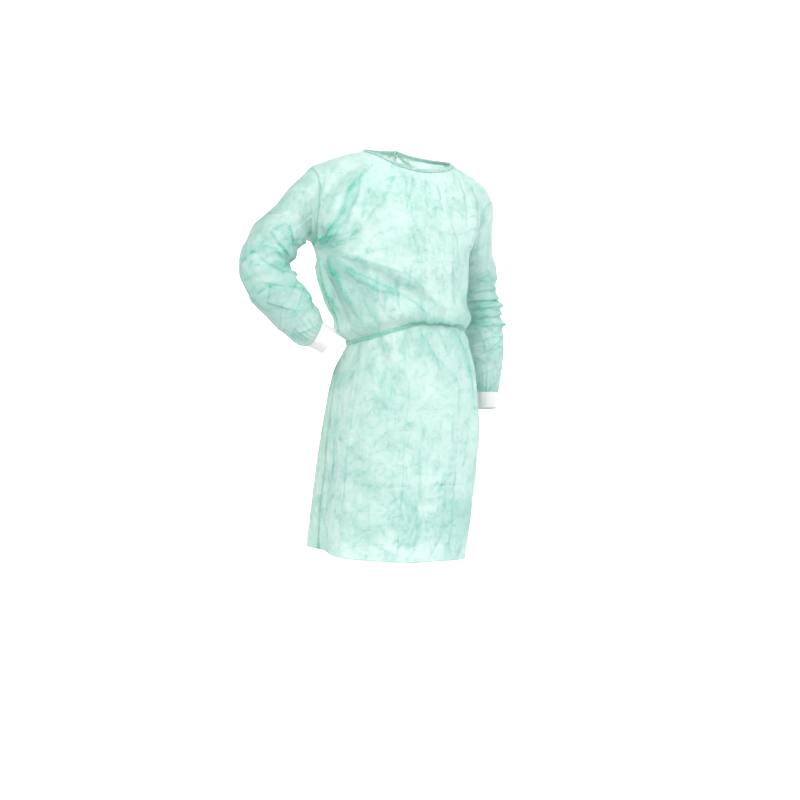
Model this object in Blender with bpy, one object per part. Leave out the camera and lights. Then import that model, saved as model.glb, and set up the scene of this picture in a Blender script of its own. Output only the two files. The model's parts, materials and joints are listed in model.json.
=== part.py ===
"""A disposable gown of thin non-woven cloth, worn and hollow, with nobody in it.

Metres, +Z up. The front faces -Y and the wearer's left is +X. The origin is the
middle of the neck opening, at the height of the higher shoulder, where the gown
is held. The body is a stack of smooth rings. A point of it is named by its angle
round the ring, in degrees from the middle of the front and growing towards the
wearer's left, and by its height. Every panel is a piece of that one surface.
"""

import bpy
import numpy as np

# Cloth and seams
CLOTH = 0.0015
KNIT = 0.0020
BINDING_CLOTH = 0.0010
SEAM_GAP = 0.0003
LAY_GAP = 0.0004

# Driving sizes of the cut
BINDING_WIDTH = 0.009
BINDING_GAP = 0.0008
BELT_WIDTH = 0.011
BELT_THICK = 0.0024
BELT_LIP = 0.0005
CUFF_LENGTH = 0.042
CUFF_RIBS = 36
RIB_HEIGHT = 0.0005
SIDE_SEAM_ANGLE = 95.0
SHOULDER_ANGLE = 90.0

# How finely the cloth is divided
FRONT_COLUMNS = 30
BACK_COLUMNS = 12
ROWS_HEM_TO_BELT = 11
ROWS_BELT_TO_UNDERARM = 6
ROWS_ARMHOLE = 10
ROWS_SHOULDER = 4
SLEEVE_COLUMNS = 2 * ROWS_ARMHOLE
HEAD_RINGS = 6
ARM_RINGS = 17
CUFF_RINGS = 2

RIGHT, LEFT = -1, 1

# Steps small enough to read a surface's slope, in degrees, metres and shares of a length
SMALL_ANGLE = 0.2
SMALL_HEIGHT = 0.0005
SMALL_AROUND = 1.0
SMALL_SHARE = 0.002
FINE_STEPS = 61


def table(names, rows):
    """The columns of a short table, by name."""
    return dict(zip(names.split(), np.array(rows, float).T))


# Rings of the body, lowest first: its middle, and how far it reaches each way
BODY = table(
    "height middle_x middle_y right_x left_x front_y back_y power",
    [
        (-1.070, -0.046, 0.030, -0.248, 0.136, -0.142, 0.196, 2.3),
        (-1.000, -0.042, 0.030, -0.245, 0.146, -0.146, 0.193, 2.3),
        (-0.910, -0.036, 0.025, -0.240, 0.162, -0.150, 0.188, 2.3),
        (-0.840, -0.032, 0.020, -0.233, 0.170, -0.153, 0.182, 2.4),
        (-0.750, -0.028, 0.020, -0.224, 0.172, -0.152, 0.173, 2.5),
        (-0.650, -0.018, 0.015, -0.211, 0.170, -0.147, 0.155, 2.6),
        (-0.580, -0.012, 0.015, -0.195, 0.166, -0.138, 0.142, 2.6),
        (-0.500, -0.016, 0.015, -0.167, 0.150, -0.128, 0.128, 2.6),
        (-0.455, -0.022, 0.015, -0.178, 0.142, -0.130, 0.128, 2.6),
        (-0.400, -0.032, 0.015, -0.211, 0.140, -0.140, 0.138, 2.6),
        (-0.300, -0.036, 0.020, -0.239, 0.141, -0.148, 0.150, 2.6),
        (-0.275, -0.033, 0.020, -0.246, 0.147, -0.148, 0.150, 2.5),
        (-0.245, -0.028, 0.020, -0.261, 0.168, -0.146, 0.149, 2.4),
        (-0.190, -0.018, 0.022, -0.288, 0.210, -0.138, 0.145, 2.3),
        (-0.134, -0.012, 0.022, -0.302, 0.238, -0.122, 0.136, 2.1),
        (-0.107, -0.010, 0.022, -0.300, 0.229, -0.112, 0.130, 2.0),
        (-0.080, -0.008, 0.022, -0.290, 0.206, -0.101, 0.122, 2.0),
        (-0.056, -0.005, 0.022, -0.270, 0.166, -0.089, 0.113, 2.0),
        (-0.025, -0.002, 0.021, -0.192, 0.102, -0.073, 0.100, 2.0),
        (0.000, 0.000, 0.020, -0.109, 0.080, -0.058, 0.086, 2.0),
        (0.020, 0.000, 0.020, -0.082, 0.068, -0.048, 0.078, 2.0),
    ],
)

# Heights of the neck edge, the belt and the hem round the body
ROUND = table(
    "angle neck belt hem",
    [
        (-180, 0.006, -0.484, -1.034),
        (-135, 0.003, -0.494, -1.024),
        (-95, -0.002, -0.500, -1.028),
        (-60, -0.022, -0.491, -1.044),
        (-30, -0.052, -0.470, -1.052),
        (0, -0.062, -0.453, -1.056),
        (30, -0.055, -0.456, -1.056),
        (60, -0.034, -0.468, -1.054),
        (95, -0.021, -0.477, -1.050),
        (135, -0.008, -0.480, -1.044),
        (180, 0.006, -0.484, -1.034),
    ],
)

# Where each side's sleeve is set in. The cuts are in degrees from the side line
ARMHOLE = table(
    "side tip_height underarm_height front_cut back_cut",
    [
        (RIGHT, -0.060, -0.252, 16.0, 22.0),
        (LEFT, -0.120, -0.258, 37.0, 24.0),
    ],
)

# Height of the middle of the front and of the back at the levels of the armhole
MIDDLE_AT_UNDERARM = -0.275
FRONT_MIDDLE_AT_TIP = -0.108
BACK_MIDDLE_AT_TIP = -0.066

# The two backs: how far each passes the middle, in degrees, by height
OVERLAP = table(
    "height degrees",
    [(-1.07, 17.0), (-0.75, 17.0), (-0.48, 15.0), (-0.25, 8.0), (0.0, -1.2), (0.02, -1.2)],
)
TUCK = 0.0040
TUCK_EASE = 16.0
MEETING = 1.2

# What the belt does to the body
CINCH_DEPTH = 0.007
CINCH_WIDTH = 0.016
PUFF_HEIGHT = 0.013
PUFF_WIDTH = 0.024

# Large folds of the body, as soft ridges, or troughs where depth is negative
BODY_FOLDS = table(
    "angle_1 height_1 angle_2 height_2 depth width",
    [
        (-73, -0.235, -58, -0.050, 0.014, 0.016),
        (-66, -0.225, -40, -0.090, -0.009, 0.018),
        (-73, -0.250, -24, -0.150, 0.009, 0.016),
        (-72, -0.262, 30, -0.420, 0.013, 0.018),
        (-66, -0.285, 20, -0.430, -0.010, 0.020),
        (-76, -0.275, -20, -0.440, 0.008, 0.018),
        (-80, -0.280, -52, -0.470, 0.008, 0.017),
        (-88, -0.285, -78, -0.480, -0.008, 0.017),
        (-98, -0.290, -100, -0.500, 0.012, 0.018),
        (62, -0.200, 56, -0.430, -0.008, 0.016),
        (48, -0.120, 50, -0.400, 0.007, 0.020),
        (150, -0.120, 140, -0.460, 0.012, 0.020),
        (-150, -0.100, -135, -0.470, 0.013, 0.020),
        (-50, -0.500, -30, -0.640, -0.010, 0.016),
        (-20, -0.470, -2, -0.640, -0.008, 0.018),
        (46, -0.480, 52, -0.800, 0.010, 0.018),
    ],
)

# Flutes of the skirt: their angle, how far they stand out at the hem, their width
FLUTES = table(
    "angle depth width top",
    [
        (-112, 0.016, 9, -0.56),
        (-86, -0.012, 9, -0.58),
        (-60, 0.007, 12, -0.62),
        (-12, 0.006, 12, -0.60),
        (20, -0.006, 12, -0.62),
        (52, 0.009, 11, -0.58),
        (84, -0.010, 10, -0.56),
        (112, 0.014, 11, -0.55),
        (142, -0.012, 10, -0.54),
        (165, 0.010, 9, -0.54),
        (-136, -0.014, 9, -0.54),
        (-158, 0.012, 9, -0.54),
    ],
)

ROUND_RADIUS = 0.17

# The arms: the line down the middle of each sleeve, and its half widths
ARMS = {
    RIGHT: table(
        "x y z across deep",
        [
            (-0.336, 0.045, -0.215, 0.060, 0.064),
            (-0.380, 0.034, -0.265, 0.062, 0.064),
            (-0.400, 0.024, -0.314, 0.064, 0.064),
            (-0.382, 0.014, -0.358, 0.062, 0.062),
            (-0.350, 0.006, -0.401, 0.059, 0.060),
            (-0.314, 0.000, -0.446, 0.055, 0.055),
            (-0.286, -0.004, -0.470, 0.047, 0.047),
            (-0.2755, -0.0055, -0.479, 0.0385, 0.0385),
        ],
    ),
    LEFT: table(
        "x y z across deep",
        [
            (0.212, 0.058, -0.300, 0.056, 0.062),
            (0.221, 0.058, -0.350, 0.055, 0.060),
            (0.226, 0.056, -0.400, 0.057, 0.060),
            (0.232, 0.052, -0.455, 0.056, 0.058),
            (0.237, 0.048, -0.520, 0.053, 0.055),
            (0.239, 0.045, -0.575, 0.047, 0.050),
            (0.238, 0.042, -0.612, 0.041, 0.043),
            (0.238, 0.041, -0.628, 0.0365, 0.0365),
        ],
    ),
}
CUFF_RADIUS = 0.0375
CUFF_END_RADIUS = 0.0350
FRAME_COUNT = 81
ARM_BENDS = 5

# How strongly each sleeve head leaves the armhole and meets the arm, at its top and under it
HEAD_SHARE = 0.28
HEAD_PULL = {RIGHT: (0.10, 0.06), LEFT: (0.13, 0.055)}
ARM_PULL = {RIGHT: (0.12, 0.05), LEFT: (0.16, 0.08)}

# Large folds of the sleeves, in rings from the armhole and degrees from the top line
SLEEVE_FOLD_NAMES = "along_1 around_1 along_2 around_2 depth width"
SLEEVE_FOLDS = {
    RIGHT: table(
        SLEEVE_FOLD_NAMES,
        [
            (0.30, 160, 0.42, 60, -0.006, 0.014),
            (0.36, 165, 0.50, 55, 0.006, 0.012),
            (0.46, 175, 0.52, 70, -0.007, 0.012),
            (0.54, 175, 0.58, 60, 0.006, 0.012),
            (0.50, 20, 0.64, 100, -0.005, 0.014),
            (0.66, 20, 0.80, 110, 0.005, 0.014),
            (0.62, 190, 0.70, 90, 0.005, 0.012),
            (0.78, 180, 0.90, 80, -0.005, 0.013),
            (0.10, 130, 0.30, 100, 0.005, 0.016),
            (0.40, 250, 0.60, 300, -0.006, 0.016),
        ],
    ),
    LEFT: table(
        SLEEVE_FOLD_NAMES,
        [
            (0.34, 20, 0.38, 150, 0.006, 0.010),
            (0.44, 350, 0.47, 130, -0.006, 0.010),
            (0.50, 10, 0.52, 160, 0.007, 0.010),
            (0.56, 340, 0.58, 120, -0.006, 0.010),
            (0.62, 10, 0.63, 170, 0.007, 0.010),
            (0.70, 30, 0.86, 110, 0.005, 0.013),
            (0.70, 330, 0.90, 20, -0.005, 0.013),
            (0.42, 200, 0.46, 320, 0.006, 0.012),
            (0.54, 210, 0.56, 330, 0.006, 0.012),
            (0.12, 60, 0.36, 40, 0.005, 0.014),
        ],
    ),
}
SLEEVE_RADIUS = 0.060
SLEEVE_REACH = 0.46
CALM_SHARE = 0.08
GATHER_DEPTH = 0.0030
GATHER_START = 0.80
GATHER_FLAT = 0.6

# The bows at the back. Each knot is across, up and out. It sits on the binding or on the belt
TIES = [
    {
        "name": "neck_tie",
        "height": 0.0015,
        "seat": BINDING_CLOTH,
        "knot": (0.015, 0.014, 0.010),
        "loop": 0.055,
        "open": 0.007,
        "slant": np.radians(38.0),
        "tail": 0.120,
        "width": 0.009,
    },
    {
        "name": "belt_tie",
        "height": -0.482,
        "seat": LAY_GAP + BELT_THICK + BELT_LIP,
        "knot": (0.020, 0.018, 0.013),
        "loop": 0.085,
        "open": 0.009,
        "slant": np.radians(40.0),
        "tail": 0.210,
        "width": 0.012,
    },
]
TIE_CLOTH = 0.0012
KNOT_RINGS = 5
KNOT_COLUMNS = 10
KNOT_WAIST = 0.15
PINCH = 0.45
PINCH_REACH = 0.030
LOOP_POINTS = 14
LOOP_ROUND = 0.7
TAIL_POINTS = 12
TAIL_SWAY = 0.10
TAIL_WAVE = 0.002
TAIL_TURNS = 2.0
TAIL_UNEVEN = 0.08
TAIL_REST = 0.004
TAIL_EASE = 0.5

FINISHES = {
    "nonwoven": {"colour": (0.46, 0.83, 0.72, 1.0), "roughness": 0.75},
    "tie": {"colour": (0.34, 0.72, 0.60, 1.0), "roughness": 0.70},
    "rib_knit": {"colour": (0.86, 0.86, 0.85, 1.0), "roughness": 0.90},
}


def smooth(x, knots, values):
    """A curve through the knots with no overshoot: cubic pieces, and level past both ends."""
    x = np.clip(x, knots[0], knots[-1])
    step = np.diff(knots)
    rise = np.diff(values) / step
    same = rise[:-1] * rise[1:] > 0
    total = np.where(same, rise[:-1] + rise[1:], 1.0)
    inner = np.where(same, 2 * rise[:-1] * rise[1:] / total, 0.0)
    slope = np.concatenate([[rise[0]], inner, [rise[-1]]])
    i = np.clip(np.searchsorted(knots, x, side="right") - 1, 0, len(step) - 1)
    t = (x - knots[i]) / step[i]
    return (
        values[i] * (1 + 2 * t) * (1 - t) ** 2
        + slope[i] * step[i] * t * (1 - t) ** 2
        + values[i + 1] * t**2 * (3 - 2 * t)
        + slope[i + 1] * step[i] * t**2 * (t - 1)
    )


def unit(vectors):
    """Each vector at length one."""
    return vectors / np.maximum(np.linalg.norm(vectors, axis=-1, keepdims=True), 1e-12)


def ease(t):
    """0 to 1 with level ends, and held outside."""
    t = np.clip(t, 0.0, 1.0)
    return t * t * (3 - 2 * t)


def wrap(angle):
    """An angle brought to the range from -180 to 180 degrees."""
    return (np.asarray(angle, float) + 180.0) % 360.0 - 180.0


def round_height(angle, name):
    """The height of the neck edge, the belt or the hem at an angle."""
    return smooth(wrap(angle), ROUND["angle"], ROUND[name])


def crease(u, v, u1, v1, u2, v2, width):
    """A soft straight line's strength: 1 on it, falling off sideways and fading at both ends."""
    du, dv = u2 - u1, v2 - v1
    length = np.hypot(du, dv)
    along = ((u - u1) * du + (v - v1) * dv) / length**2
    aside = ((u - u1) * dv - (v - v1) * du) / length
    fade = ease((along + 0.08) / 0.25) * ease((1.08 - along) / 0.30)
    return np.exp(-((aside / width) ** 2)) * fade


def body_relief(angle, height):
    """How far the cloth stands out from its plain ring: folds, flutes and the belt's pull."""
    angle = wrap(angle)
    relief = np.zeros(np.broadcast(angle, height).shape)
    u = np.radians(angle) * ROUND_RADIUS
    for a1, h1, a2, h2, depth, width in zip(*BODY_FOLDS.values()):
        u1, u2 = np.radians(a1) * ROUND_RADIUS, np.radians(a2) * ROUND_RADIUS
        relief = relief + depth * crease(u, height, u1, h1, u2, h2, width)
    for a, depth, width, top in zip(*FLUTES.values()):
        grown = ease((top - height) / (top - BODY["height"][0]))
        relief = relief + depth * grown * np.exp(-((wrap(angle - a) / width) ** 2))
    above = height - round_height(angle, "belt")
    relief = relief - CINCH_DEPTH * np.exp(-((above / CINCH_WIDTH) ** 2))
    puff = np.exp(-(((above - 1.5 * PUFF_WIDTH) / PUFF_WIDTH) ** 2))
    return relief + PUFF_HEIGHT * puff


def ring_point(angle, height):
    """A point of the plain body: a rounded ring at that height, read at that angle."""
    side_sine, front_cosine = np.sin(np.radians(angle)), np.cos(np.radians(angle))
    at = {name: smooth(height, BODY["height"], BODY[name]) for name in BODY}
    side = np.where(side_sine > 0, at["left_x"] - at["middle_x"], at["middle_x"] - at["right_x"])
    deep = np.where(front_cosine > 0, at["middle_y"] - at["front_y"], at["back_y"] - at["middle_y"])
    power = at["power"]
    reach = (np.abs(side_sine / side) ** power + np.abs(front_cosine / deep) ** power) ** (-1 / power)
    x = at["middle_x"] + reach * side_sine
    y = at["middle_y"] - reach * front_cosine
    return np.stack(np.broadcast_arrays(x, y, height), axis=-1)


def across(surface, u, v, small_u, small_v):
    """The direction square to a surface of two parameters, from small steps of both."""
    u_step = surface(u + small_u, v) - surface(u - small_u, v)
    v_step = surface(u, v + small_v) - surface(u, v - small_v)
    return unit(np.cross(u_step, v_step))


def body_point(angle, height, out=0.0):
    """A point of the outside of the gown's body, with its folds, or one that far out from it."""
    angle, height = np.asarray(angle, float), np.asarray(height, float)
    outward = across(ring_point, angle, height, SMALL_ANGLE, SMALL_HEIGHT)
    return ring_point(angle, height) + outward * (body_relief(angle, height) + out)[..., None]


def body_normal(angle, height):
    """The outward direction of the folded body there."""
    angle, height = np.asarray(angle, float), np.asarray(height, float)
    return across(body_point, angle, height, SMALL_ANGLE, SMALL_HEIGHT)


def laid(angle, height, out):
    """Points that far out from the body."""
    return body_point(angle, height) + body_normal(angle, height) * np.asarray(out)[..., None]


def armhole(side):
    """One side's row of the armhole table, by name."""
    i = int(np.flatnonzero(ARMHOLE["side"] == side)[0])
    return {name: ARMHOLE[name][i] for name in ARMHOLE}


def armhole_curve(side, face, turn):
    """Angle and height on half an oval, from the underarm at turn 0 to the shoulder tip at 180."""
    cut = armhole(side)
    low, high = cut["underarm_height"], cut["tip_height"]
    line = SIDE_SEAM_ANGLE + (SHOULDER_ANGLE - SIDE_SEAM_ANGLE) * turn / 180.0
    depth = -cut["front_cut"] if face == "front" else cut["back_cut"]
    angle = side * (line + depth * np.sin(np.radians(turn)))
    return angle, (low + high) / 2 - (high - low) / 2 * np.cos(np.radians(turn))


def walked_along(points):
    """The length walked to each of the points in a row."""
    steps = np.linalg.norm(np.diff(points, axis=0), axis=1)
    return np.concatenate([[0.0], np.cumsum(steps)])


def armhole_line(side, face, share):
    """Angle and height on half the armhole, in even steps from the underarm at share 0 to the
    shoulder tip at 1."""
    turn = np.linspace(0, 180, FINE_STEPS)
    walked = walked_along(ring_point(*armhole_curve(side, face, turn)))
    return armhole_curve(side, face, np.interp(share * walked[-1], walked, turn))


def binding_drop(angles):
    """How far below the neck edge the binding's lower edge is, down the slope of the cloth."""
    neck = round_height(angles, "neck")
    step = ring_point(angles, neck) - ring_point(angles, neck - SMALL_HEIGHT)
    return BINDING_WIDTH * SMALL_HEIGHT / np.linalg.norm(step, axis=-1)


def shoulder_heights(side):
    """Heights from the shoulder tip to the binding, in even steps along the shoulder."""
    angle = side * SHOULDER_ANGLE
    last = round_height(angle, "neck") - binding_drop(np.array([angle]))[0]
    heights = np.linspace(armhole(side)["tip_height"], last, FINE_STEPS)
    walked = walked_along(ring_point(np.full(heights.shape, angle), heights))
    return np.interp(np.linspace(0, walked[-1], ROWS_SHOULDER + 1), walked, heights)


def edge_rows(side, face):
    """Angles and heights down one side of a panel, from the hem up to the neck: side seam,
    armhole and shoulder seam. The rows beside the belt follow it."""
    seam = side * SIDE_SEAM_ANGLE
    belt, half = round_height(seam, "belt"), BELT_WIDTH / 2
    skirt = np.linspace(round_height(seam, "hem"), belt - half, ROWS_HEM_TO_BELT + 1)
    waist = np.linspace(belt + half, armhole(side)["underarm_height"], ROWS_BELT_TO_UNDERARM + 1)
    below = np.concatenate([skirt, [belt], waist])
    round_arm, arm_heights = armhole_line(side, face, np.linspace(0, 1, ROWS_ARMHOLE + 1))
    shoulder = np.append(shoulder_heights(side), round_height(seam, "neck"))
    angles = [np.full(len(below), seam), round_arm[1:], np.full(len(shoulder) - 1, side * SHOULDER_ANGLE)]
    return np.concatenate(angles), np.concatenate([below, arm_heights[1:], shoulder[1:]])


def middle_rows(face):
    """Heights of the same rows at the middle of the front or the back."""
    angle = 0.0 if face == "front" else 180.0
    at_tip = FRONT_MIDDLE_AT_TIP if face == "front" else BACK_MIDDLE_AT_TIP
    belt, half = round_height(angle, "belt"), BELT_WIDTH / 2
    neck = round_height(angle, "neck")
    skirt = np.linspace(round_height(angle, "hem"), belt - half, ROWS_HEM_TO_BELT + 1)
    waist = np.linspace(belt + half, MIDDLE_AT_UNDERARM, ROWS_BELT_TO_UNDERARM + 1)
    chest = np.linspace(MIDDLE_AT_UNDERARM, at_tip, ROWS_ARMHOLE + 1)[1:]
    yoke = np.linspace(at_tip, neck - BINDING_WIDTH, ROWS_SHOULDER + 1)[1:]
    return np.concatenate([skirt, [belt], waist, chest, yoke, [neck]])


def settle_rows(angles, heights):
    """Brings the hem, the rows beside the belt and the two neck rows of a grid onto their lines."""
    belt_row = ROWS_HEM_TO_BELT + 1
    heights[0] = round_height(angles[0], "hem")
    for row, offset in ((belt_row - 1, -0.5), (belt_row, 0.0), (belt_row + 1, 0.5)):
        heights[row] = round_height(angles[row], "belt") + offset * BELT_WIDTH
    neck, drop = round_height(angles[-1], "neck"), binding_drop(angles[-1])
    first = len(heights) - 2 - ROWS_SHOULDER
    for row in range(first, len(heights) - 1):
        share = ease((row - first) / ROWS_SHOULDER)
        heights[row] += share * (neck - drop - heights[row])
    heights[-1] = neck
    return heights


def front_grid():
    """Angles and heights over the front, from the right edge to the left."""
    s = np.linspace(-1, 1, FRONT_COLUMNS + 1)
    right_angle, right_height = edge_rows(RIGHT, "front")
    left_angle, left_height = edge_rows(LEFT, "front")
    middle = middle_rows("front")[:, None]
    edge_angle = np.where(s < 0, right_angle[:, None], left_angle[:, None])
    edge_height = np.where(s < 0, right_height[:, None], left_height[:, None])
    angles = np.abs(s) * edge_angle
    heights = middle + (edge_height - middle) * ease(np.abs(s))
    return angles, settle_rows(angles, heights)


def back_grid(side):
    """Angles and heights over one back, from its side edge to past the middle."""
    s = np.linspace(0, 1, BACK_COLUMNS + 1)
    edge_angle, edge_height = edge_rows(side, "back")
    middle = middle_rows("back")
    past = smooth(middle, OVERLAP["height"], OVERLAP["degrees"])
    last_angle = side * (180.0 + past)
    angles = edge_angle[:, None] + (last_angle - edge_angle)[:, None] * s
    heights = edge_height[:, None] + (middle - edge_height)[:, None] * ease(s)
    return angles, settle_rows(angles, heights)


def tuck_of(angles, heights):
    """How far the under back lies inside the body, where the other back covers it."""
    past = smooth(heights, OVERLAP["height"], OVERLAP["degrees"])
    covered = np.abs(angles) - (180.0 - past - TUCK_EASE)
    return TUCK * ease(covered / TUCK_EASE) * ease((past - OVERLAP["degrees"][-1]) / MEETING)


def part_edge(points, at, beside):
    """Moves one side column of a grid half a seam gap towards the column beside it."""
    points[:, at] += unit(points[:, beside] - points[:, at]) * SEAM_GAP / 2


def wall_mesh(outer, inner, closed):
    """Vertices and faces of a wall between two grids of points, closed round or with four edges."""
    rows, columns = outer.shape[:2]
    points = np.concatenate([outer.reshape(-1, 3), inner.reshape(-1, 3)])
    number = np.arange(rows * columns).reshape(rows, columns)
    if closed:
        number = np.concatenate([number, number[:, :1]], axis=1)
    far = number + rows * columns

    def quads(grid):
        return np.stack([grid[:-1, :-1], grid[:-1, 1:], grid[1:, 1:], grid[1:, :-1]], -1).reshape(-1, 4)

    def strip(near_line, far_line):
        return np.stack([near_line[:-1], far_line[:-1], far_line[1:], near_line[1:]], -1)

    faces = [quads(number), quads(far)[:, ::-1], strip(number[0], far[0]), strip(far[-1], number[-1])]
    if not closed:
        faces += [strip(far[:, 0], number[:, 0]), strip(number[:, -1], far[:, -1])]
    return points, np.concatenate(faces)


def add_piece(name, points, faces, finish):
    """Makes the object of one piece. If its faces enclose a negative volume, they are turned round."""
    mesh = bpy.data.meshes.new(name)
    mesh.from_pydata(points.tolist(), [], [list(map(int, face)) for face in faces])
    corners = [points[list(face)] for face in faces]
    fans = [(c[0], c[i], c[i + 1]) for c in corners for i in range(1, len(c) - 1)]
    if sum(a @ np.cross(b, c) for a, b, c in fans) < 0:
        mesh.flip_normals()
    mesh.shade_smooth()
    mesh.set_sharp_from_angle(angle=np.radians(40))
    mesh.materials.append(make_finish(f"{name}_{finish}", **FINISHES[finish]))
    piece = bpy.data.objects.new(name, mesh)
    bpy.context.scene.collection.objects.link(piece)


def make_finish(name, colour, roughness):
    """A plain material of that colour."""
    material = bpy.data.materials.new(name)
    material.use_nodes = True
    shader = material.node_tree.nodes["Principled BSDF"]
    shader.inputs["Base Color"].default_value = colour
    shader.inputs["Roughness"].default_value = roughness
    shader.inputs["Metallic"].default_value = 0.0
    return material


def make_front():
    """The front: one panel from side seam to side seam."""
    angles, heights = front_grid()
    outer, normals = body_point(angles, heights), body_normal(angles, heights)
    part_edge(outer, 0, 1)
    part_edge(outer, -1, -2)
    add_piece("front", *wall_mesh(outer, outer - CLOTH * normals, False), "nonwoven")


def make_back(side, name):
    """One back panel. The right one lies under the left one past the middle."""
    angles, heights = back_grid(side)
    normals = body_normal(angles, heights)
    inset = tuck_of(angles, heights) if side == RIGHT else np.zeros(angles.shape)
    outer = body_point(angles, heights) - normals * inset[..., None]
    part_edge(outer, 0, 1)
    add_piece(name, *wall_mesh(outer, outer - CLOTH * normals, False), "nonwoven")


def arm_line(side, share):
    """Middle and half widths of the sleeve down the arm, from share 0 at its top to 1 at the cuff."""
    arm = ARMS[side]
    walked = walked_along(np.stack([arm["x"], arm["y"], arm["z"]], axis=1))
    walked = walked / walked[-1]
    line = [np.polyval(np.polyfit(walked, arm[name], ARM_BENDS), share) for name in "xyz"]
    return np.stack(line, axis=-1), smooth(share, walked, arm["across"]), smooth(share, walked, arm["deep"])


def arm_frames(side):
    """Along, outward and forward directions down the arm, carried on without a twist."""
    shares = np.linspace(0, 1, FRAME_COUNT)
    along = unit(np.gradient(arm_line(side, shares)[0], axis=0))
    underarm, tip = (body_point(*armhole_line(side, "front", share)) for share in (0.0, 1.0))
    direction = tip - underarm
    outward = []
    for heading in along:
        direction = unit(direction - heading * (direction @ heading))
        outward.append(direction)
    outward = np.array(outward)
    return shares, along, outward, np.cross(along, outward) * side


def arm_ring(side, around, share):
    """Points round the sleeve on the arm, 0 degrees outermost and 90 in front, and the arm's heading."""
    shares, *frames = arm_frames(side)
    at = [np.stack([np.interp(share, shares, frame[:, i]) for i in range(3)], -1) for frame in frames]
    along, outward, forward = (unit(frame) for frame in at)
    middle, across_half, deep_half = arm_line(side, share)
    turn = np.radians(around)
    sideways = outward * (across_half * np.cos(turn))[..., None]
    return middle + sideways + forward * (deep_half * np.sin(turn))[..., None], along


def armhole_ring(side, around):
    """Points on the armhole, 0 degrees at the shoulder tip and 90 in front, the body's outward
    directions there, and the directions in which the body's surface runs on into the hole."""
    around = np.asarray(around, float) % 360.0
    front = around <= 180.0
    share = np.abs(around - 180.0) / 180.0
    halves = zip(armhole_line(side, "front", share), armhole_line(side, "back", share))
    angle, height = (np.where(front, *pair) for pair in halves)
    point, normal = body_point(angle, height), body_normal(angle, height)
    middle = (armhole(side)["tip_height"] + armhole(side)["underarm_height"]) / 2
    wanted = body_point(side * SHOULDER_ANGLE, middle) - point
    sideways = wanted - normal * np.einsum("...i,...i->...", wanted, normal)[..., None]
    return point, normal, unit(sideways)


def plain_sleeve(side, around, travel):
    """A point of the sleeve with no folds. Up to HEAD_SHARE of the travel it is a cubic curve from
    the armhole, leaving as the body's surface runs, to the top ring of the arm. Then it is that
    ring, carried down the arm."""
    start, _, leaving = armhole_ring(side, around)
    ring, heading = arm_ring(side, around, np.zeros(np.shape(around)))
    top = (1 + np.cos(np.radians(around))) / 2
    leave_pull, arm_pull = (low + (high - low) * top for high, low in (HEAD_PULL[side], ARM_PULL[side]))
    t = np.clip(travel / HEAD_SHARE, 0, 1)[..., None]
    head = (
        start * (1 + 2 * t) * (1 - t) ** 2
        + leaving * leave_pull[..., None] * t * (1 - t) ** 2
        + ring * t**2 * (3 - 2 * t)
        + heading * arm_pull[..., None] * t**2 * (t - 1)
    )
    share = np.clip((travel - HEAD_SHARE) / (1 - HEAD_SHARE), 0, 1)
    return np.where(travel[..., None] < HEAD_SHARE, head, arm_ring(side, around, share)[0])


def sleeve_relief(side, around, travel):
    """How far the sleeve stands out from its plain form: its folds, and the gathers at the cuff."""
    relief = np.zeros(around.shape)
    for t1, a1, t2, a2, depth, width in zip(*SLEEVE_FOLDS[side].values()):
        middle = (a1 + a2) / 2
        u = np.radians(wrap(around - middle)) * SLEEVE_RADIUS
        u1, u2 = np.radians(a1 - middle) * SLEEVE_RADIUS, np.radians(a2 - middle) * SLEEVE_RADIUS
        relief = relief + depth * crease(
            u, travel * SLEEVE_REACH, u1, t1 * SLEEVE_REACH, u2, t2 * SLEEVE_REACH, width
        )
    relief = relief * ease(travel / HEAD_SHARE) * ease((1 - travel) / CALM_SHARE)
    gathered = ease((travel - GATHER_START) / (1 - GATHER_START)) * (1 - GATHER_FLAT * travel)
    return relief + GATHER_DEPTH * gathered * np.cos(np.radians(around) * SLEEVE_COLUMNS / 2)


def sleeve_grid(side):
    """The outer points of a sleeve, a row for each ring from the armhole, and their normals."""
    head = np.linspace(0, HEAD_SHARE, HEAD_RINGS + 1)
    travel = np.concatenate([head, np.linspace(HEAD_SHARE, 1, ARM_RINGS + 1)[1:]])
    around = np.arange(SLEEVE_COLUMNS) * 360.0 / SLEEVE_COLUMNS
    travel, around = np.meshgrid(travel, around, indexing="ij")

    def plain(around, travel):
        return plain_sleeve(side, around, travel)

    def folded(around, travel):
        normal = side * across(plain, around, travel, SMALL_AROUND, SMALL_SHARE)
        run = plain(around, travel + SMALL_SHARE) - plain(around, travel - SMALL_SHARE)
        stretch = np.linalg.norm(run, axis=-1) / (2 * SMALL_SHARE * SLEEVE_REACH)
        relief = sleeve_relief(side, around, travel) * np.minimum(stretch, 1)
        return plain(around, travel) + normal * relief[..., None]

    points = folded(around, travel)
    normals = side * across(folded, around, travel, SMALL_AROUND, SMALL_SHARE)
    edge, edge_normal, leaving = armhole_ring(side, around[0])
    points[0] = edge + leaving * SEAM_GAP
    normals[0] = edge_normal
    along, middle = arm_frames(side)[1][-1], arm_line(side, 1.0)[0]
    points[-1] -= ((points[-1] - middle) @ along)[:, None] * along
    normals[-1] = unit(normals[-1] - (normals[-1] @ along)[:, None] * along)
    return points, normals


def make_sleeve(side, name):
    """One sleeve, from its armhole to the gathered seam of its cuff."""
    points, normals = sleeve_grid(side)
    add_piece(name, *wall_mesh(points, points - CLOTH * normals, True), "nonwoven")


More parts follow.
